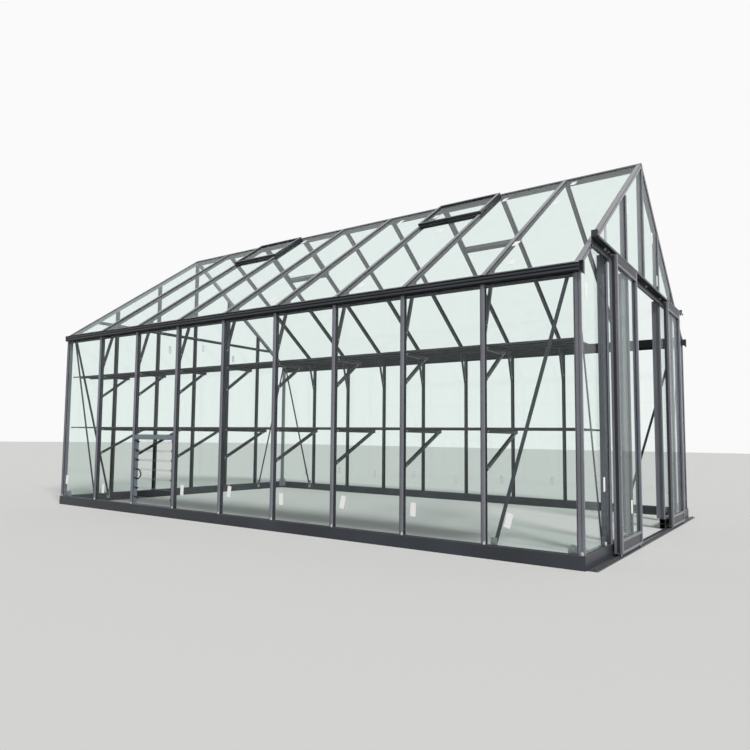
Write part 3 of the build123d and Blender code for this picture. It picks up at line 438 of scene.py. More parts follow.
tufts = {"Points": steps, "Instance": tuft, "Rotation": turned}
spread = add(brush_tree, "GeometryNodeInstanceOnPoints", tufts)
close_tree(brush_tree, spread, given["Material"])
print("brush tree nodes:", len(brush_tree.nodes))

# %% [markdown]
# One function runs a tree on points or lines and keeps the result. An input of a modifier is set by its
# socket's identifier, because two sockets may share a name. The result is read once from the evaluated
# object, its normals are turned outwards, and the modifier is gone before the piece is told which body it
# rides on.


# %% Run a tree and keep a plain mesh
sharp_angle = math.radians(35)


def settle(piece, body):
    """Turns the faces outwards, reports the size, and lets the piece ride on its body."""
    work = bmesh.new()
    work.from_mesh(piece.data)
    bmesh.ops.recalc_face_normals(work, faces=work.faces)
    work.to_mesh(piece.data)
    work.free()
    piece.data.shade_smooth()
    piece.data.set_sharp_from_angle(angle=sharp_angle)
    triangles = sum(len(face.vertices) - 2 for face in piece.data.polygons)
    print(piece.name, "triangles:", triangles)
    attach(piece, body)
    return piece


def grow(name, tree, values, body="greenhouse", lines=(), bolts=()):
    """lines is a list of point lists. bolts is a list of (point, facing)."""
    seed = bpy.data.meshes.new(name)
    points, edges = [], []
    for run in lines:
        edges += [(len(points) + i, len(points) + i + 1) for i in range(len(run) - 1)]
        points += [tuple(point) for point in run]
    points += [tuple(point) for point, _ in bolts]
    seed.from_pydata(points, edges, [])
    if bolts:
        facing = seed.attributes.new("facing", "FLOAT_VECTOR", "POINT")
        facing.data.foreach_set("vector", [c for _, direction in bolts for c in direction])
    piece = new_object(name, seed)
    modifier = piece.modifiers.new("grow", "NODES")
    modifier.node_group = tree
    for item in tree.interface.items_tree:
        if item.item_type == "SOCKET" and item.in_out == "INPUT" and item.name in values:
            modifier[item.identifier] = values[item.name]
    bpy.context.view_layer.update()
    plain = bpy.data.meshes.new_from_object(piece.evaluated_get(bpy.context.evaluated_depsgraph_get()))
    plain.name = name
    piece.modifiers.clear()
    piece.data = plain
    bpy.data.meshes.remove(seed)
    return settle(piece, body)


# %% [markdown]
# Each pane lies behind a black rubber bead along the edge of the bar in front of it, which shows as a thin
# dark line beside every bar. The beads are 3.2 mm thick and sink a little into the face of the glass. They
# run down both sides of every post, along the sill and under the gutter, and up both sides of every roof
# bar.
# The roof is a sloping plane, so a point on it is given by its x, its distance y from the ridge line, and
# how far it is lifted off the plane that the panes rest on.

# %% Glazing beads on the house
roof_pitch = math.radians(34.5)
roof_bar_low, roof_bar_high = boxes_of("front_roof_bars")[0]
ridge_reach = -roof_bar_high.y
eave_reach = -roof_bar_low.y
apex_z = roof_bar_high.z + ridge_reach * math.tan(roof_pitch)
vent_bars = (2, 3, 6, 7)
louvre_bay = 2
vent_low_reach = 525 * MM
ridge_wing_reach = 36 * MM
rafter_drop = 28 * MM
louvre_head_z = 780 * MM
slope_rise, slope_sin, slope_cos = math.tan(roof_pitch), math.sin(roof_pitch), math.cos(roof_pitch)
cap_half_width = 16 * MM
bead_radius = 1.6 * MM
bead_stand = bead_radius * 0.6
cap_reach = cap_half_width + bead_radius
roof_pane_lift = 4.3 * MM


def on_roof(x, y, lift):
    """A point over the roof's plane, lifted square to the slope."""
    return Vector((x, y, apex_z - abs(y) * slope_rise + lift / slope_cos))


def bead_places():
    """The number of the bar, the way off its middle and the x of each bead beside the bars of a long side."""
    beside = [(k, way) for k in range(bays_long + 1) for way in (-1, 1) if 0 < k + way / 2 < bays_long]
    return [(k, way, grid_x[k] + way * cap_reach) for k, way in beside]


def wall_lines(side):
    """Beads on one long wall. side is -1 for the front and 1 for the back."""
    y = side * (glass_face + bead_stand)
    lines = []
    for k, way, x in bead_places():
        over_louvre = side < 0 and (k, way) in ((louvre_bay, 1), (louvre_bay + 1, -1))
        lines.append([(x, y, louvre_head_z if over_louvre else sill_z), (x, y, eave_z)])
    for k in range(bays_long):
        low_z = louvre_head_z if side < 0 and k == louvre_bay else sill_z + bead_radius
        for z in (low_z, eave_z - bead_radius):
            lines.append([(grid_x[k] + cap_reach, y, z), (grid_x[k + 1] - cap_reach, y, z)])
    return lines


def bar_top(k):
    """How near a roof bar's cap and beads come to the ridge line."""
    return vent_low_reach if k in vent_bars else ridge_wing_reach


def roof_lines(side):
    """Beads on one slope of the roof."""
    lines = []
    for k, way, x in bead_places():
        ends = side * eave_reach, side * bar_top(k)
        lines.append([on_roof(x, y, roof_pane_lift + bead_stand) for y in ends])
    return lines


def gable_lines(gable_glass_x, outward, bays):
    """Beads on a gable, beside the posts of the bays that have glass, and under both rafters."""
    x = gable_glass_x + outward * bead_stand
    lines = []
    for j in bays:
        left, right = grid_y[j] + cap_reach, grid_y[j + 1] - cap_reach
        lines += [[(x, y, sill_z), (x, y, on_roof(x, y, -rafter_drop).z)] for y in (left, right)]
        lines.append([(x, left, sill_z + bead_radius), (x, right, sill_z + bead_radius)])
    foot, head, lift = eave_reach - 34 * MM, 20 * MM, -27.5 * MM
    lines += [[on_roof(x, side * foot, lift), on_roof(x, side * head, lift)] for side in (-1, 1)]
    return lines


far_glass_x = boxes_of("far_gable_glass")[0][0].x
door_glass_x = boxes_of("door_gable_glass")[0][1].x
transom_z = (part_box("far_gable_transom")[0].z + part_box("far_gable_transom")[1].z) / 2
transom_bead = 17 * MM, 1500 * MM
bead_lines = wall_lines(-1) + wall_lines(1) + roof_lines(-1) + roof_lines(1)
bead_lines += gable_lines(far_glass_x, -1, range(bays_wide))
bead_lines += gable_lines(door_glass_x, 1, (0, 1, 4, 5))
for way in (-1, 1):
    for side in (-1, 1):
        x, z = far_glass_x - bead_stand, transom_z + way * cap_reach
        bead_lines.append([(x, side * reach, z) for reach in transom_bead])
grow("glazing_beads", bead_tree, bead_sizes(bead_radius), lines=bead_lines)

# %% [markdown]
# The outer face of a real bar is a rounded cap that clips on over the glass. It shines as a light strip with
# dark edges. Each one is a long shallow arch, laid on the CAD bar's flat face. A tree could sweep it too,
# but a swept profile may turn about its line, and this one has to keep its flat side on the bar. So it is
# made in mesh code: the arch is drawn at both ends and joined up.


# %% An arch laid along a bar
arch_steps = 8


def close_prism(work, first, last):
    """Joins two rings of corners with side faces, and closes both ends."""
    for i in range(len(first)):
        after = (i + 1) % len(first)
        work.faces.new((first[i], first[after], last[after], last[i]))
    work.faces.new(last)
    work.faces.new(list(reversed(first)))


def lay_arch(work, start, end, across, out, half_width, height):
    """Adds a closed bar with an arched section. Its flat side is half_width each way of the line."""
    across, out = Vector(across).normalized(), Vector(out).normalized()
    rings = []
    for place in (Vector(start), Vector(end)):
        ring = []
        for step in range(arch_steps + 1):
            angle = math.pi * step / arch_steps
            reach = half_width * math.cos(angle)
            ring.append(work.verts.new(place + across * reach + out * (height * math.sin(angle))))
        rings.append(ring)
    close_prism(work, *rings)


def piece_from(work, name, material, body="greenhouse"):
    mesh = bpy.data.meshes.new(name)
    work.to_mesh(mesh)
    work.free()
    mesh.materials.append(material)
    return settle(new_object(name, mesh), body)


# %% [markdown]
# Every roof bar and every post between the corners gets a cap, and so does the transom of the far gable. On
# the roof the caps stop below the vents, which lie over the bars there. On the door gable they end under the
# header, and only the three middle posts have them over the hood.

# %% Caps on the walls, roof and gables
cap_height = 7.5 * MM
cap_sink = 0.3 * MM
roof_cap_lift = 7.6 * MM - cap_sink
header_low_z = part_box("door_header")[0].z - 2 * MM
hood_high_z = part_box("door_hood")[1].z + 2 * MM
far_face_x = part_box("far_gable_posts")[0].x
door_face_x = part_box("door_gable_posts")[1].x
x_axis, y_axis, z_axis = Vector((1, 0, 0)), Vector((0, 1, 0)), Vector((0, 0, 1))


def out_of_slope(side):
    """The direction square to one slope of the roof, away from the house."""
    return (0, side * slope_sin, slope_cos)


caps = bmesh.new()
for k in range(1, bays_long):
    for side in (-1, 1):
        x, y = grid_x[k], side * (wall_face - cap_sink)
        lay_arch(caps, (x, y, sill_z), (x, y, eave_z), x_axis, y_axis * side, cap_half_width, cap_height)
        start, end = (on_roof(x, side * reach, roof_cap_lift) for reach in (eave_reach, bar_top(k)))
        lay_arch(caps, start, end, x_axis, out_of_slope(side), cap_half_width, cap_height)
middle_post = bays_wide // 2
for j in range(1, bays_wide):
    y = grid_y[j]
    roof_z = on_roof(0, abs(y) + cap_half_width, -30 * MM).z
    spans = [(-1, sill_z, transom_z - cap_half_width), (-1, transom_z + cap_half_width, roof_z)]
    if j != middle_post:
        spans.append((1, sill_z, header_low_z))
    if abs(j - middle_post) <= 1:
        spans.append((1, hood_high_z, roof_z))
    for outward, low_z, high_z in spans:
        x = (far_face_x if outward < 0 else door_face_x) - outward * cap_sink
        lay_arch(caps, (x, y, low_z), (x, y, high_z), y_axis, x_axis * outward, cap_half_width, cap_height)
transom_cap_reach = 1475 * MM
for low, high in boxes_of("far_gable_transom"):
    left, right = max(low.y, -transom_cap_reach), min(high.y, transom_cap_reach)
    x = far_face_x + cap_sink
    lay_arch(caps, (x, left, transom_z), (x, right, transom_z), z_axis, -x_axis, cap_half_width, cap_height)
print("caps on the bars:", len(caps.verts) // (2 * (arch_steps + 1)))

# %% [markdown]
# The vents' frames have lower caps on their sides and upper rail. Three lists of parts read the vents, so
# their measures are taken once: the side of the ridge, the x of both ends, and the y near the ridge and far
# from it.

# %% Caps on the vents
vent_top_lift = 33.8 * MM
vent_cap_height = 2.4 * MM
vent_rail = 14 * MM
vents = []
for low, high in boxes_of("roof_vent_frames"):
    side = math.copysign(1, low.y)
    vents.append((side, low.x, high.x) + ((high.y, low.y) if side < 0 else (low.y, high.y)))
for side, left, right, near, far in vents:
    lift, out = vent_top_lift - cap_sink, out_of_slope(side)
    for x in (left + vent_rail, right - vent_rail):
        start, end = (on_roof(x, y, lift) for y in (near + side * 16 * MM, far - side * 2 * MM))
        lay_arch(caps, start, end, x_axis, out, 12 * MM, vent_cap_height)
    ends = left + 2 * vent_rail, right - 2 * vent_rail
    start, end = (on_roof(x, near + side * 26.3 * MM, lift) for x in ends)
    lay_arch(caps, start, end, (0, -side * slope_cos, slope_sin), out, 9 * MM, vent_cap_height)
# The caps take the coat with painted sky light.
piece_from(caps, "bar_caps", painted_light_coat)

# %% [markdown]
# The gutter is an extrusion with two rounded ribs along its face. They catch the sky, so they show as two
# light bands under a dark lip. The same arch makes them, laid on the gutter's two flat bands. The ledge that
# the door wheels run on has a rounded edge, which the bead tree makes.

# %% Ribs along the gutters and the edge of the header
gutter_low, gutter_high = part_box("gutter_front")
ribs = bmesh.new()
for side in (-1, 1):
    y = side * (-gutter_low.y - cap_sink)
    for above_foot, half_width in ((38 * MM, 6.8 * MM), (15 * MM, 7.2 * MM)):
        z = gutter_low.z + above_foot
        start, end = (gutter_low.x + 1 * MM, y, z), (gutter_high.x - 1 * MM, y, z)
        lay_arch(ribs, start, end, z_axis, y_axis * side, half_width, 2.6 * MM)
piece_from(ribs, "gutter_ribs", frame_coat)
header_low, header_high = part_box("door_header")
edge_x, edge_z = header_high.x - 1.2 * MM, header_low.z + 2 * MM
edge_line = [(edge_x, header_low.y + 2 * MM, edge_z), (edge_x, header_high.y - 2 * MM, edge_z)]
# The header's edge takes the coat with painted sky light.
edge_sizes = bead_sizes(1.9 * MM, 10, painted_light_coat)
grow("header_edge", bead_tree, edge_sizes, lines=[edge_line])

# %% [markdown]
# Bolts hold the braces and the shelf brackets to the bars. They are M6: a head 11 mm across on a 14 mm
# washer.
# A brace is a straight bar at a slant, so its middle line is found from its corner points, and a bolt goes
# through it 20 to 30 mm in from each end. A bolt is set on both faces of a bar that has air on both sides. A
# flat part that lies on a wall has its bolts on the inner face, so the axis that it is thin in tells where
# they go. The outer ends of the transoms run out under the rafters and have none.

# %% Bolts on braces, brackets and plates
bolt_places = []
arm_screw_reach = 50 * MM
last_transom_bolt = 1440 * MM
for node_name, inset in (("knee_braces", 30 * MM), ("shelf_struts", 20 * MM), ("shelf_arms", 16 * MM)):
    for points in pieces_of(node_name):
        low, high = box_of(points)
        for place in ends_of(points, inset):
            if node_name == "shelf_arms" and place.y > low.y + arm_screw_reach:
                continue
            bolt_places.append(((low.x, place.y, place.z), (-1, 0, 0)))
            bolt_places.append(((high.x, place.y, place.z), (1, 0, 0)))


def bolt_inside(place, low, high):
    """Sets a bolt at a place, on the inner face of the flat part between low and high."""
    thin = 1 if high.y - low.y < high.x - low.x else 0
    inward = -math.copysign(1, low[thin] + high[thin])
    place, facing = list(place), [0, 0, 0]
    place[thin], facing[thin] = low[thin] if inward < 0 else high[thin], inward
    bolt_places.append((place, facing))


for points in pieces_of("corner_braces"):
    for place in ends_of(points, 24 * MM):
        bolt_inside(place, *box_of(points))
for low, high in boxes_of("base_plates"):
    middle = (low + high) / 2
    for z in (low.z + 16 * MM, low.z + 50 * MM):
        bolt_inside((middle.x, middle.y, z), low, high)
for low, high in boxes_of("far_gable_transom") + boxes_of("door_gable_transom"):
    for y in (low.y + 22 * MM, high.y - 22 * MM):
        if abs(y) < last_transom_bolt:
            bolt_inside((low.x, y, transom_z), low, high)
frame_bolt = bolt_sizes(washer=(7, 1.6), head=(5.4, 4), sides=6, material=bolt_metal)
grow("frame_bolts", bolt_tree, frame_bolt, bolts=bolt_places)

# %% [markdown]
# Smaller screws have low round heads: they fix each shelf slat to the arms under it, the vents' corners, and
# the cap on the far end of each gutter. The same tree makes them with other sizes.

# %% Screws on the shelves, vents and gutters
screw_places = []
arm_places = sorted({round((low.x + high.x) / 2, 4) for low, high in boxes_of("shelf_arms")})
for low, high in boxes_of("lower_shelf_slats") + boxes_of("upper_shelf_slats"):
    screw_places += [((x, (low.y + high.y) / 2 + 18 * MM, high.z), (0, 0, 1)) for x in arm_places]
for side, left, right, near, far in vents:
    for x in (left + vent_rail, right - vent_rail):
        for along in (0.045, 0.97):
            place = on_roof(x, near + (far - near) * along, vent_top_lift + vent_cap_height - 0.4 * MM)
            screw_places.append((place, out_of_slope(side)))
gutter_screw_z = 1840 * MM
for low, high in boxes_of("gutter_end_caps"):
    if low.x < 0:
        for y in (low.y + 14 * MM, high.y - 14 * MM):
            screw_places.append(((low.x, y, gutter_screw_z), (-1, 0, 0)))
small_screw = bolt_sizes(washer=(6, 1.2), head=(4.6, 2), sides=12, material=bolt_metal)
grow("frame_screws", bolt_tree, small_screw, bolts=screw_places)

# %% [markdown]
# Flat parts, such as labels and clips, are made in mesh code: an outline in its own plane is laid on the
# pane or bar and given its thickness. The outline's corners are rounded with a short fan of points. A few
# lines of code suit a part like this better than a tree, because each one has its own place and size.


# %% A rounded plate laid on a face
def rounded_outline(width, height, radius, steps=4):
    corners = ((1, 1, 0), (-1, 1, 90), (-1, -1, 180), (1, -1, 270))
    outline = []
    for sign_u, sign_v, start in corners:
        for step in range(steps + 1):
            angle = math.radians(start + 90 * step / steps)
            u = sign_u * (width / 2 - radius) + radius * math.cos(angle)
            v = sign_v * (height / 2 - radius) + radius * math.sin(angle)
            outline.append((u, v))
    return outline


def lay_plate(work, outline, centre, across, up, thickness):
    """Adds a solid plate to a bmesh. It rises from its face along across x up."""
    across, up, centre = Vector(across).normalized(), Vector(up).normalized(), Vector(centre)
    out = across.cross(up)
    rings = []
    for height in (0, thickness):
        rings.append([work.verts.new(centre + across * u + up * v + out * height) for u, v in outline])
    close_prism(work, *rings)


def piece_of_plates(name, plates, material, body="greenhouse"):
    """Each plate is an outline, a centre, across, up and a thickness, as lay_plate takes them."""
    work = bmesh.new()
    for plate in plates:
        lay_plate(work, *plate)
    return piece_from(work, name, material, body)


# %% [markdown]
# The panes carry plain white labels, one near the lower corner of most panes. Nothing is printed on them.
# Each was stuck on by hand, so a label in front has its own place beside the post, its height and its lean
# in degrees. The other labels are listed by their two places in millimetres. On the roof the third value
# says how far the face of the pane is lifted off the roof's plane.

# %% Labels on the panes
label_outline = rounded_outline(44 * MM, 96 * MM, 4 * MM)
film_thickness = 0.4 * MM
glass_thickness = 4 * MM


def label(centre, across=x_axis, up=z_axis):
    """A label as a plate."""
    return label_outline, centre, across, up, film_thickness


front_labels = (
    (0, 89, 273, 5),
    (1, 138, 213, 1),
    (3, 129, 269, 2),
    (4, 124, 292, 9),
    (5, 104, 267, 0),
    (6, 102, 285, 12),
    (7, 93, 275, 2),
    (8, 170, 258, 15),
)
labels = []
for k, beside, z, lean in front_labels:
    lean_sin, lean_cos = math.sin(math.radians(lean)), math.cos(math.radians(lean))
    centre = (grid_x[k] + beside * MM, -glass_face, z * MM)
    labels.append(label(centre, (lean_cos, 0, -lean_sin), (lean_sin, 0, lean_cos)))
back_label_beside = 470 * MM
back_label_z = (262, 305, 281, 298, 255, 287, 309)
for k, z in enumerate(back_label_z):
    labels.append(label((grid_x[k] + back_label_beside, glass_face - glass_thickness, z * MM)))
for y, z in ((-420, 1891), (154, 1980), (736, 1893)):
    labels.append(label((far_glass_x + glass_thickness, y * MM, z * MM), y_axis))
for y, z in ((-1735, 1728), (-1385, 490), (898, 1796), (-558, 2607), (394, 2610), (574, 2253)):
    labels.append(label((door_glass_x, y * MM, z * MM), y_axis))
vent_pane_lift = 22.9 * MM
roof_labels = (
    (-813, -168, roof_pane_lift),
    (512, -203, roof_pane_lift),
    (115, -1713, roof_pane_lift),
    (1043, -1705, roof_pane_lift),
    (1240, -745, roof_pane_lift),
    (1001, -364, vent_pane_lift),
    (1640, -212, roof_pane_lift),
    (2252, -160, roof_pane_lift),
    (2238, -613, roof_pane_lift),
    (2185, -1376, roof_pane_lift),
    (2280, -1705, roof_pane_lift),
)
for x, y, lift in roof_labels:
    labels.append(label(on_roof(x * MM, y * MM, lift), x_axis, (0, slope_cos, slope_sin)))
piece_of_plates("pane_labels", labels, label_film)
print("labels on the front, back and roof:", len(front_labels), len(back_label_z), len(roof_labels))

# %% [markdown]
# Through the glass a dark strip shows under each gutter, from post to post. A dark plate 26 mm high and 3 mm
# thick, set 1 mm behind the pane, stands for it. It takes the gutters' coat, with painted shade in its
# colour.

# %% Dark strips under the gutters
under_gutter_outline = rounded_outline(bay - 34 * MM, 26 * MM, 1 * MM)
under_gutter_thickness = 3 * MM
under_gutter_drop = 12.8 * MM
under_gutter_strips = []
for side in (-1, 1):
    y = side * (glass_face - 8 * MM)
    for k in range(bays_long):
        centre = ((grid_x[k] + grid_x[k + 1]) / 2, y, eave_z - under_gutter_drop)
        under_gutter_strips.append((under_gutter_outline, centre, x_axis * -side, z_axis, under_gutter_thickness))
# The plates take the gutters' coat with painted shade.
piece_of_plates("under_gutter_dark_strips", under_gutter_strips, painted_shade_coat)

# %% [markdown]
# At the foot of each front post a small white clip stops the cap from sliding down, a little right of the
# middle.
# It is 14 mm wide, with a lip bent over at its top. Each is made of two thin plates that overlap, and has a
# screw.

# %% Clips at the feet of the front posts
clip_thickness = 1.6 * MM
clip_z, lip_z = sill_z + 9.5 * MM, sill_z + 19 * MM
tongue = rounded_outline(14 * MM, 18 * MM, 3 * MM)
lip = rounded_outline(11 * MM, 5 * MM, 1.5 * MM)
clips = []
clip_screws = []
for k, post_x in enumerate(grid_x):
    x = post_x + 8 * MM
    face_y = -(wall_face + (cap_height - 1 * MM if 0 < k < bays_long else -0.4 * MM))
    clips.append((tongue, (x, face_y, clip_z), x_axis, z_axis, clip_thickness))
    clips.append((lip, (x, face_y + 2 * MM, lip_z), x_axis, (0, -0.5, 1), clip_thickness))
    clip_screws.append(((x, face_y - clip_thickness, clip_z), (0, -1, 0)))
piece_of_plates("post_clips", clips, white_plastic)
clip_screw = bolt_sizes(washer=(4, 0.6), head=(3.2, 1.4), sides=12, material=bolt_metal)
grow("clip_screws", bolt_tree, clip_screw, bolts=clip_screws)

# %% [markdown]
# Each sliding leaf has its own beads, caps, panels, rivets and brush, and these ride with the leaf. The
# stiles are 34 mm wide, the top rail is 70 mm high and the kick rail 95 mm. A dark rubber strip runs down
# both edges; it is partly the rubber in the channel and partly painted shade in it. A dark sheet on the top
# rail is painted shade under the hood. The brush runs down the inner side of the stile that meets the other
# leaf, to keep draughts out. A brush is thousands of hairs on the real door. Here one tuft stands for about
# twenty hairs, every 5 mm.

# %% Trim of the two sliding leaves
stile, top_rail, kick_rail = 34 * MM, 70 * MM, 95 * MM
sheet = 1.2 * MM
leaf_rivet = bolt_sizes(washer=(4.2, 0.8), head=(3, 1.2), sides=12, material=bolt_metal)
pile = {
    "Spacing": 5 * MM,
    "Length": 2.0 * MM,
    "Tuft Radius": 1.6 * MM,
    "Lean": 0.35,
    "Seed": 4,
    "Material": bristle,
}


def frame_lines(corners):
    """The four sides of a frame, each as a line from one corner to the next."""
    return [[corners[i], corners[(i + 1) % 4]] for i in range(4)]


for side_name, side in (("front", -1), ("back", 1)):
    body = "door_" + side_name
    low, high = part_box("door_leaf_" + side_name)
    stile_middles = low.y + stile / 2, high.y - stile / 2
    left, right, middle_y = low.y + stile, high.y - stile, (low.y + high.y) / 2
    foot, top = low.z + kick_rail, high.z - top_rail

    bead_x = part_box("door_glass_" + side_name)[1].x + bead_stand
    near, far = left + bead_stand, right - bead_stand
    under, over = foot + bead_stand, top - bead_stand
    corners = [(bead_x, y, z) for y, z in ((near, under), (far, under), (far, over), (near, over))]
    beads = bead_sizes(bead_radius)
    grow("leaf_beads_" + side_name, bead_tree, beads, body, lines=frame_lines(corners))

    arches = bmesh.new()
    x = high.x - cap_sink
    for y in stile_middles:
        start, end = ((x, y, z) for z in (low.z + 2 * MM, high.z - 2 * MM))
        lay_arch(arches, start, end, y_axis, x_axis, 16 * MM, 3.6 * MM)
    start, end = ((x, y, top + 7 * MM) for y in (left, right))
    lay_arch(arches, start, end, z_axis, x_axis, 5 * MM, 2 * MM)
    # The leaf's caps take the coat with painted sky light.
    piece_from(arches, "leaf_caps_" + side_name, painted_light_coat, body)

    outline = rounded_outline(right - left - 4 * MM, 78 * MM, 2 * MM)
    kick = (outline, (high.x - 7.2 * MM, middle_y, low.z + 47 * MM), y_axis, z_axis, sheet)
    piece_of_plates("leaf_kick_" + side_name, [kick], frame_coat, body)
    # A dark sheet on the top rail, in the shelf coat, is painted shade under the hood.
    outline = rounded_outline(right - left - 2 * MM, 54 * MM, 2 * MM)
    rail_shade_sheet = (outline, (high.x - 0.2 * MM, middle_y, top + 41 * MM), y_axis, z_axis, sheet)
    piece_of_plates("leaf_rail_shade_" + side_name, [rail_shade_sheet], shelf_and_painted_shade_coat, body)

    # Dark rubber strips down both edges, partly the rubber in the channels and partly painted shade in them.
    outline = rounded_outline(20 * MM, high.z - low.z - 12 * MM, 1 * MM)
    edges = (low.y + 0.2 * MM, x_axis), (high.y - 0.2 * MM, -x_axis)
    x, z = high.x - 23 * MM, (low.z + high.z) / 2
    rubber_and_shade_strips = [(outline, (x, y, z), across, z_axis, 1 * MM) for y, across in edges]
    piece_of_plates("leaf_rubber_and_shade_strips_" + side_name, rubber_and_shade_strips, rubber, body)

    rivet_heights = low.z + 14 * MM, low.z + 82 * MM, high.z - 52 * MM, high.z - 20 * MM
    rivets = [((high.x, y, z), (1, 0, 0)) for y in stile_middles for z in rivet_heights]
    grow("leaf_rivets_" + side_name, bolt_tree, leaf_rivet, body, bolts=rivets)

    meeting_y = high.y if side < 0 else low.y
    brush_line = [(high.x - 26 * MM, meeting_y, z) for z in (low.z + 30 * MM, high.z - 30 * MM)]
    values = pile | {"Direction": (0.0, float(-side), 0.0)}
    grow("leaf_brush_" + side_name, brush_tree, values, body, lines=[brush_line])

# %% [markdown]
# Small white nylon blocks stand on the header under the hood, where they stop the wheels and hold the hood.
# One more clips the foot of the pane on either side of the doors. A plate with a large thickness is a block.

# %% White blocks at the header and the door
block_outline = rounded_outline(18 * MM, 15 * MM, 3 * MM)
foot_outline = rounded_outline(10 * MM, 24 * MM, 3 * MM)
block_x, block_z = header_low.x + 4 * MM, header_high.z - 8 * MM
blocks = []
for y in (-1297, -1217, -1136, 27, 629, 1136, 1217, 1297):
    blocks.append((block_outline, (block_x, y * MM, block_z), y_axis, z_axis, 13 * MM))
for y in (-1388, 1388):
    blocks.append((foot_outline, (door_glass_x, y * MM, sill_z + 14 * MM), y_axis, z_axis, 9 * MM))
piece_of_plates("header_blocks", blocks, white_plastic)

# %% [markdown]
# The front leaf has a plain label too. A white nylon nut sits on the outer side of each hanging wheel, which
# is 8 mm wide, and a white screw on each side holds the guide shoes under the leaf, clear of the fin that
# they straddle. The wheels are the runners that lie more than a metre up.

# %% The leaf's label, wheel nuts and shoe screws
leaf_label = label((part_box("door_glass_front")[1].x, -881 * MM, 312 * MM), y_axis)
piece_of_plates("leaf_label", [leaf_label], label_film, "door_front")
wheel_width = 8 * MM
runner_nut = bolt_sizes(washer=(6.5, 1), head=(4.5, 1.4), sides=12, material=white_plastic)
for side_name in ("front", "back"):
    nuts = []
    for low, high in boxes_of("door_runners_" + side_name):
        middle = (low + high) / 2
        sides = [(low.x + wheel_width, 1)] if middle.z > 1 else [(low.x, -1), (high.x, 1)]
        nuts += [((x, middle.y, middle.z), (outward, 0, 0)) for x, outward in sides]
    grow("runner_nuts_" + side_name, bolt_tree, runner_nut, "door_" + side_name, bolts=nuts)

# %% [markdown]
# The louvre's blades turn on small pins, so each clip has a round pin head on the side that faces the blade.
# The lever is in the same node as the clips and lies further in, so it is passed over. The louvre's frame is
# pressed over the wall bars with a black rubber strip at both sides and along the top, which shows as a dark
# line.

# %% Louvre trim
louvre_low, louvre_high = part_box("louvre_frame")
strip_y = louvre_low.y - 0.2 * MM
strip_lines = []
for x in (louvre_low.x + 12.5 * MM, louvre_high.x - 12.5 * MM):
    strip_lines.append([(x, strip_y, 106 * MM), (x, strip_y, 731 * MM)])
strip_lines.append([(x, strip_y, 731.5 * MM) for x in (louvre_low.x + 13 * MM, louvre_high.x - 13 * MM)])
grow("louvre_strip", bead_tree, bead_sizes(bead_radius), lines=strip_lines)
lever_y = -1800 * MM
pins = []
for low, high in boxes_of("louvre_clips"):
    if high.y > lever_y:
        continue
    middle = (low + high) / 2
    outward = math.copysign(1, middle.x - (louvre_low.x + louvre_high.x) / 2)
    pins.append(((high.x if outward < 0 else low.x, low.y + 8 * MM, middle.z), (-outward, 0, 0)))
louvre_pin = bolt_sizes(washer=(4, 1), head=(3, 2), sides=12, material=bolt_metal)
grow("louvre_pins", bolt_tree, louvre_pin, bolts=pins)

# %% [markdown]
# A vent hangs from the ridge on a rolled hinge, cut into knuckles. The hinge is a line of short beads with
# small gaps. A rubber bead holds its pane.

# %% Vent hinges and beads
knuckle_length = 70 * MM
knuckle_step = knuckle_length + 3 * MM
hinge_lift, vent_bead_lift = 31 * MM, 23.9 * MM
hinge_lines = []
vent_bead_lines = []
for side, left, right, near, far in vents:
    count = int((right - left) / knuckle_step)
    start = (left + right) / 2 - count * knuckle_step / 2
    y = near + side * 11.9 * MM
    for i in range(count):
        ends = start + i * knuckle_step, start + i * knuckle_step + knuckle_length
        hinge_lines.append([on_roof(x, y, hinge_lift) for x in ends])
    left, right = left + 29 * MM, right - 29 * MM
    upper, lower = near + side * 32.9 * MM, far - side * 29.5 * MM
    corners = (left, upper), (right, upper), (right, lower), (left, lower)
    vent_bead_lines += frame_lines([on_roof(x, y, vent_bead_lift) for x, y in corners])
hinge_sizes = bead_sizes(3.4 * MM, 10, frame_coat)
grow("vent_hinges", bead_tree, hinge_sizes, lines=hinge_lines)
grow("vent_beads", bead_tree, bead_sizes(bead_radius), lines=vent_bead_lines)

# %% [markdown]
# The camera stands where the photographer stood. The pixel size of the focal length, and where the lens axis
# meets the picture, were fitted to the posts' feet and tops. The lens axis is a little off the middle of the
# picture, so the camera has a small shift.

# %% Camera at the photograph's angle
IMAGE = 750
focal_pixels = 656.7
axis_x, axis_y = 324.38, 387.08
camera_at = Vector((3.9318, -5.9954, 0.7663))
turn, tilt, roll = 0.6484, 0.0780, 0.0146
forward = Vector((-math.sin(turn) * math.cos(tilt), math.cos(turn) * math.cos(tilt), math.sin(tilt)))
level = Vector((math.cos(turn), math.sin(turn), 0))
upward = level.cross(forward)
right = level * math.cos(roll) + upward * math.sin(roll)
top = upward * math.cos(roll) - level * math.sin(roll)
camera_data = bpy.data.cameras.new("camera")
camera = new_object("camera", camera_data)
camera.matrix_world = Matrix.Translation(camera_at) @ Matrix((right, top, -forward)).transposed().to_4x4()
camera_data.sensor_width = 36
camera_data.lens = focal_pixels / IMAGE * camera_data.sensor_width
camera_data.shift_x = (IMAGE / 2 - axis_x) / IMAGE
camera_data.shift_y = (axis_y - IMAGE / 2) / IMAGE
camera_data.clip_end = 200
bpy.context.scene.camera = camera
print("lens in mm:", round(camera_data.lens, 2), "height of the eye in metres:", camera_at.z)

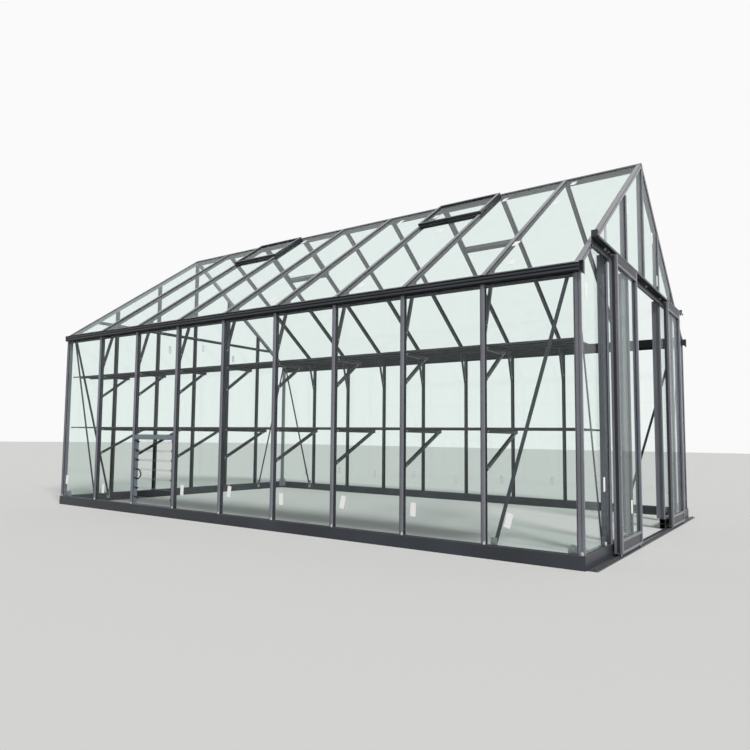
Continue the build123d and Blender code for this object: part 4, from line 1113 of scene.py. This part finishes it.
# %% [markdown]
# A wide pale floor keeps the house's shadow. Its edge is far off, where it meets the pale backdrop.

# %% Floor
floor_mesh = bpy.data.meshes.new("floor")
reach = 60.0
corners = [(x * reach, y * reach, 0) for x, y in ((-1, -1), (1, -1), (1, 1), (-1, 1))]
floor_mesh.from_pydata(corners, [], [(0, 1, 2, 3)])
floor = new_object("floor", floor_mesh)
floor_material, tree = new_material("pale matt floor")
floor_shader = add(tree, "ShaderNodeBsdfDiffuse", {"Color": linear("#E6E6E4")})
add(tree, "ShaderNodeOutputMaterial", {"Surface": floor_shader})
floor_mesh.materials.append(floor_material)
print("floor is", 2 * reach, "m wide")

# %% [markdown]
# The world does two jobs. What the camera, a mirror or glass sees of it is a pale backdrop, and what lights
# the object is a soft white sky. Light Path tells the two apart. A soft sun from the front right gives the
# bars their bright and dark sides, as the low sun does in the photograph, with soft-edged shadows.

# %% Sky and sun
world = bpy.data.worlds.new("studio")
bpy.context.scene.world = world
world.use_nodes = True
tree = world.node_tree
tree.nodes.clear()
path = add(tree, "ShaderNodeLightPath")
seen = add(
    tree,
    "ShaderNodeMath",
    {0: path.outputs["Is Camera Ray"], 1: path.outputs["Is Glossy Ray"]},
    operation="MAXIMUM",
)
seen = add(tree, "ShaderNodeMath", {0: seen, 1: path.outputs["Is Transmission Ray"]}, operation="MAXIMUM")
shown = add(tree, "ShaderNodeBackground", {"Color": linear("#FAFAFA"), "Strength": 1.0})
lighting = add(tree, "ShaderNodeBackground", {"Color": linear("#FFFFFF"), "Strength": 0.32})
choice = add(tree, "ShaderNodeMixShader", {0: seen, 1: lighting, 2: shown})
add(tree, "ShaderNodeOutputWorld", {"Surface": choice})

sun_data = bpy.data.lights.new("soft sun", "SUN")
sun_data.energy = 2.6
sun_data.angle = math.radians(14)
sun = new_object("soft sun", sun_data)
sun.rotation_euler = (math.radians(52), 0, math.radians(58))

bpy.context.scene.view_settings.view_transform = "Standard"
bpy.context.scene.cycles.transparent_max_bounces = 32
print("sun strength:", sun_data.energy)
